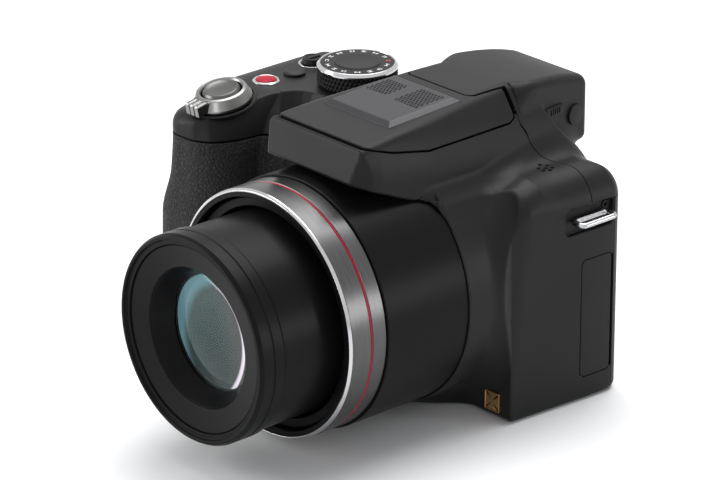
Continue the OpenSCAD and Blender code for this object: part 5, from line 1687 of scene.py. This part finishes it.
@dataclass(frozen=True)
class BaseParts(Unit):
    """Tripod insert, cover screws and battery latch under the body."""

    screws: tuple[tuple[float, float], ...] = ((-45, 12), (29, 12), (-45, -11), (29, -13.4))
    ribs: tuple[float, ...] = (-1.8, -0.9, 0.0, 0.9, 1.8)

    def insert(self) -> None:
        """Build the tripod insert: a flanged bush whose thread is a row of ridges."""
        ridges = [(r, h, 0.03) for k in range(8) for r, h in ((3.18, 0.9 + k * 0.7), (3.5, 1.25 + k * 0.7))]
        profile = [(3.3, 6.6, 0.1), (6.0, 6.6, 0.1), (6.0, 0.25, 0.1), (5.7, 0.03, 0.1), (3.9, 0.03, 0.1)]
        bush = Outline(tuple(profile + ridges), True, 3)
        self.add(Axis((0, 0, 0), (0, 0, 1)).revolve(bush, 64), "tripod_bush", "body", Slot.STEEL,
                 "tripod_socket")

    def heads(self) -> None:
        """Build the screw heads, each a shallow cap with a round recess."""
        cap = Outline(((0, 0.7, 0), (1.45, 0.7, 0.1), (1.45, 0.2, 0.15), (1.1, 0.04, 0.2),
                       (0.5, 0.02, 0.05), (0.35, 0.4, 0.1), (0, 0.4, 0)), False)
        whole = [Axis((x, y, 0), (0, 0, 1)).revolve(cap, 32) for x, y in self.screws]
        self.add(sum(whole[1:], whole[0]), "screw_heads", "body", Slot.STEEL, "screws")

    def latch(self) -> None:
        """Build the latch of the battery door with its ribs."""
        axis = Axis((-73.8, -7.35, 1.7), (0, 0, -1))
        edge = Outline(((0, 0, 0), (0, 1.2, 0.2), (-0.3, 1.45, 0.15)), False)
        whole = axis.prism(RearParts.plate(2.2, 3.4, 0.6), edge)
        for v in self.ribs:
            rib = Outline.box((-1.6, v - 0.2), (1.6, v + 0.2), 0.1, 3)
            whole = whole + axis.prism(rib, Outline(((0, 1.2, 0), (0, 1.55, 0.05), (-0.05, 1.6, 0.02)),
                                                    False, 3))
        self.add(whole, "latch_slide", "battery_latch", Slot.DARK, "battery_latch")

    def build(self) -> None:
        """Build the base parts."""
        self.insert()
        self.heads()
        self.latch()


# Stage


@dataclass(frozen=True)
class Stage:
    """Floor, lights and camera of the picture."""

    eye: tuple[float, float, float] = (688.02, -657.15, 428.41)
    aim: tuple[float, float, float] = (13.15, -48.0, 50.6)
    lens: float = 205.7
    sensor: float = 36.0
    shift: tuple[float, float] = (-0.0026, 0.0057)
    far: float = 10.0
    sky: Colour = (0.9, 0.92, 0.95)
    sky_strength: float = 0.5
    reach: float = 4000.0
    drop: float = 0.05
    paper: tuple[Colour, Colour] = ((0.93, 0.93, 0.93), (0.95, 0.95, 0.95))
    lit: tuple[float, float, float] = (0.0, -20.0, 40.0)
    lamps: tuple[tuple[str, tuple[float, float, float], tuple[float, float], float], ...] = (
        ("overhead", (-150, 250, 900), (900, 700), 11), ("left_box", (-800, -800, 450), (600, 800), 8.5),
        ("right_strip", (900, 620, 140), (160, 300), 1.9),
        ("front_strip", (260, -1000, 160), (180, 320), 1.2))

    def floor(self) -> None:
        """Lay a wide pale floor with a faint fall of tone."""
        tree = Tree("floor_paper")
        cloud = tree.noise(tree.place(), 0.004, 2.0)
        tone = cloud.ramp(0.3, 0.7).blend(*self.paper)
        paper = tree.close(tree.surface(Base_Color=tone, Roughness=0.9, Specular_IOR_Level=0.0))
        reach = np.linspace(-self.reach, self.reach, 9)
        x, y = np.meshgrid(reach, reach, indexing="ij")
        points = np.stack([x, y, 0 * x - self.drop], -1)
        patch = Patch.grid(points, np.broadcast_to((0.0, 0.0, 1.0), points.shape))
        mesh = bpy.data.meshes.new("floor")
        mesh.from_pydata((patch.points * MM).tolist(), [], patch.quads.tolist())
        mesh.materials.append(paper)
        made = bpy.data.objects.new("floor", mesh)
        bpy.context.scene.collection.objects.link(made)

    def light(self, name: str, spot: tuple[float, float, float], size: tuple[float, float],
              watts: float) -> None:
        """Hang a white soft box that faces the object.

        Args:
            name: its name.
            spot: its place.
            size: its two sides.
            watts: its power.
        """
        data = bpy.data.lights.new(name, "AREA")
        data.shape = "RECTANGLE"
        data.size, data.size_y = (s * MM for s in size)
        data.energy = watts
        made = bpy.data.objects.new(name, data)
        made.location = Vector(spot) * MM
        made.rotation_euler = (Vector(self.lit) - Vector(spot)).to_track_quat("-Z", "Y").to_euler()
        bpy.context.scene.collection.objects.link(made)

    def build(self) -> None:
        """Set the stage."""
        scene = bpy.context.scene
        scene.view_settings.view_transform = "Standard"
        self.floor()
        world = bpy.data.worlds.new("studio")
        world.use_nodes = True
        scene.world = world
        nodes, links = world.node_tree.nodes, world.node_tree.links
        nodes.clear()
        path = nodes.new("ShaderNodeLightPath")
        soft, white = nodes.new("ShaderNodeBackground"), nodes.new("ShaderNodeBackground")
        soft.inputs["Color"].default_value = (*self.sky, 1)
        soft.inputs["Strength"].default_value = self.sky_strength
        white.inputs["Color"].default_value = (1, 1, 1, 1)
        mixed, out = nodes.new("ShaderNodeMixShader"), nodes.new("ShaderNodeOutputWorld")
        seen = path.outputs["Is Camera Ray"]
        for kind in ("Is Glossy Ray", "Is Transmission Ray"):
            either = nodes.new("ShaderNodeMath")
            either.operation = "MAXIMUM"
            links.new(seen, either.inputs[0])
            links.new(path.outputs[kind], either.inputs[1])
            seen = either.outputs[0]
        links.new(seen, mixed.inputs[0])
        links.new(soft.outputs[0], mixed.inputs[1])
        links.new(white.outputs[0], mixed.inputs[2])
        links.new(mixed.outputs[0], out.inputs[0])
        for lamp in self.lamps:
            self.light(*lamp)
        data = bpy.data.cameras.new("camera")
        data.lens, data.sensor_width = self.lens, self.sensor
        data.shift_x, data.shift_y = self.shift
        data.clip_end = self.far
        made = bpy.data.objects.new("camera", data)
        made.location = Vector(self.eye) * MM
        made.rotation_euler = (Vector(self.aim) - Vector(self.eye)).to_track_quat("-Z", "Y").to_euler()
        scene.collection.objects.link(made)
        scene.camera = made


def finishes() -> dict[Slot, Finish]:
    """Return the finish of each slot."""
    return {
        Slot.BLACK: Moulded("satin_black", (0.0105, 0.0105, 0.011), 0.43, specular=0.14),
        Slot.DARK: Moulded("dark_plastic", (0.009, 0.009, 0.0095), 0.45, specular=0.16),
        Slot.LENS: Turned("lens_black", (0.0045, 0.0045, 0.005), 0.36, specular=0.08),
        Slot.RUBBER: Leather("grain_rubber", (0.014, 0.014, 0.0145), 0.6, cell=1.0, depth=0.16),
        Slot.TRIM: Turned("brushed_ring", (0.09, 0.09, 0.09), 0.3, metallic=1.0, spread=0.15),
        Slot.SATIN: Metal("satin_silver", (0.22, 0.22, 0.215), 0.32),
        Slot.CHROME: Metal("chrome", (0.52, 0.52, 0.53), 0.14, depth=0.001),
        Slot.RED: Lacquer("signal_red", (0.34, 0.004, 0.02), 0.35, coat=0.0, specular=0.12),
        Slot.STEEL: Metal("steel", (0.45, 0.45, 0.46), 0.22),
        Slot.BRONZE: Metal("bronze", (0.5, 0.3, 0.13), 0.35, stretch=(0.2, 1.0, 3.0)),
        Slot.GUNMETAL: Metal("gunmetal", (0.028, 0.028, 0.031), 0.38, metallic=0.6),
        Slot.GLASS: Pane("coated_glass", (0.6, 0.75, 0.72), 0.02, reflect=0.006),
        Slot.CLEAR: Pane("clear_cover", (0.8, 0.85, 0.85), 0.05),
        Slot.SCREEN: Lacquer("screen_glass", (0.006, 0.006, 0.008), 0.1, coat=0.25, specular=0.2),
        Slot.CIRCUIT: Lacquer("lacquered_board", (0.02, 0.1, 0.04), 0.35),
        Slot.CELL: Lacquer("cell_sleeve", (0.1, 0.1, 0.11), 0.4),
    }


def dress_frame(palette: dict[Slot, bpy.types.Material]) -> None:
    """Give every node of the frame the finish of its slot.

    Args:
        palette: the materials by slot.
    """
    for name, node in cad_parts.items():
        for held in node.material_slots:
            key = (held.material.name if held.material else "").split(".")[0]
            held.material = palette[Slot(key)] if key in {s.value for s in Slot} else palette[Slot.DARK]


def main() -> None:
    """Build the scene in order."""
    logging.basicConfig(level=logging.INFO, format="%(message)s")
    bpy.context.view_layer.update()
    palette = {slot: finish.make() for slot, finish in finishes().items()}
    palette["mark_white"] = Lacquer("mark_white", (0.75, 0.75, 0.74), 0.4, coat=0.0).make()
    # the inner glass finish has painted sheen and painted reflections in its colour
    palette["inner_glass"] = Optic("inner_coating", (0.008, 0.02, 0.019), 0.15).make()
    # a darker copy of the satin silver: painted shade on the shutter button, also used on the set key
    palette["button_metal"] = Metal("button_metal", (0.1, 0.1, 0.097), 0.3).make()
    # near-black matte finish for the speaker dishes: painted shade of holes
    palette["hole_black"] = Moulded("hole_black", (0.002, 0.002, 0.002), 0.8, specular=0.05).make()
    palette["mark_red"] = Lacquer("mark_red", (0.55, 0.05, 0.03), 0.4, coat=0.0).make()
    dress_frame(palette)
    Covers().build(palette)
    LensUnit(palette).build()
    DeckControls(palette).build()
    FlashUnit(palette).build(Covers.lid_line[1:5])
    SideParts(palette).build(Form())
    RearParts(palette).build()
    BaseParts(palette).build()
    Stage().build()


if __name__ == "__main__":
    main()
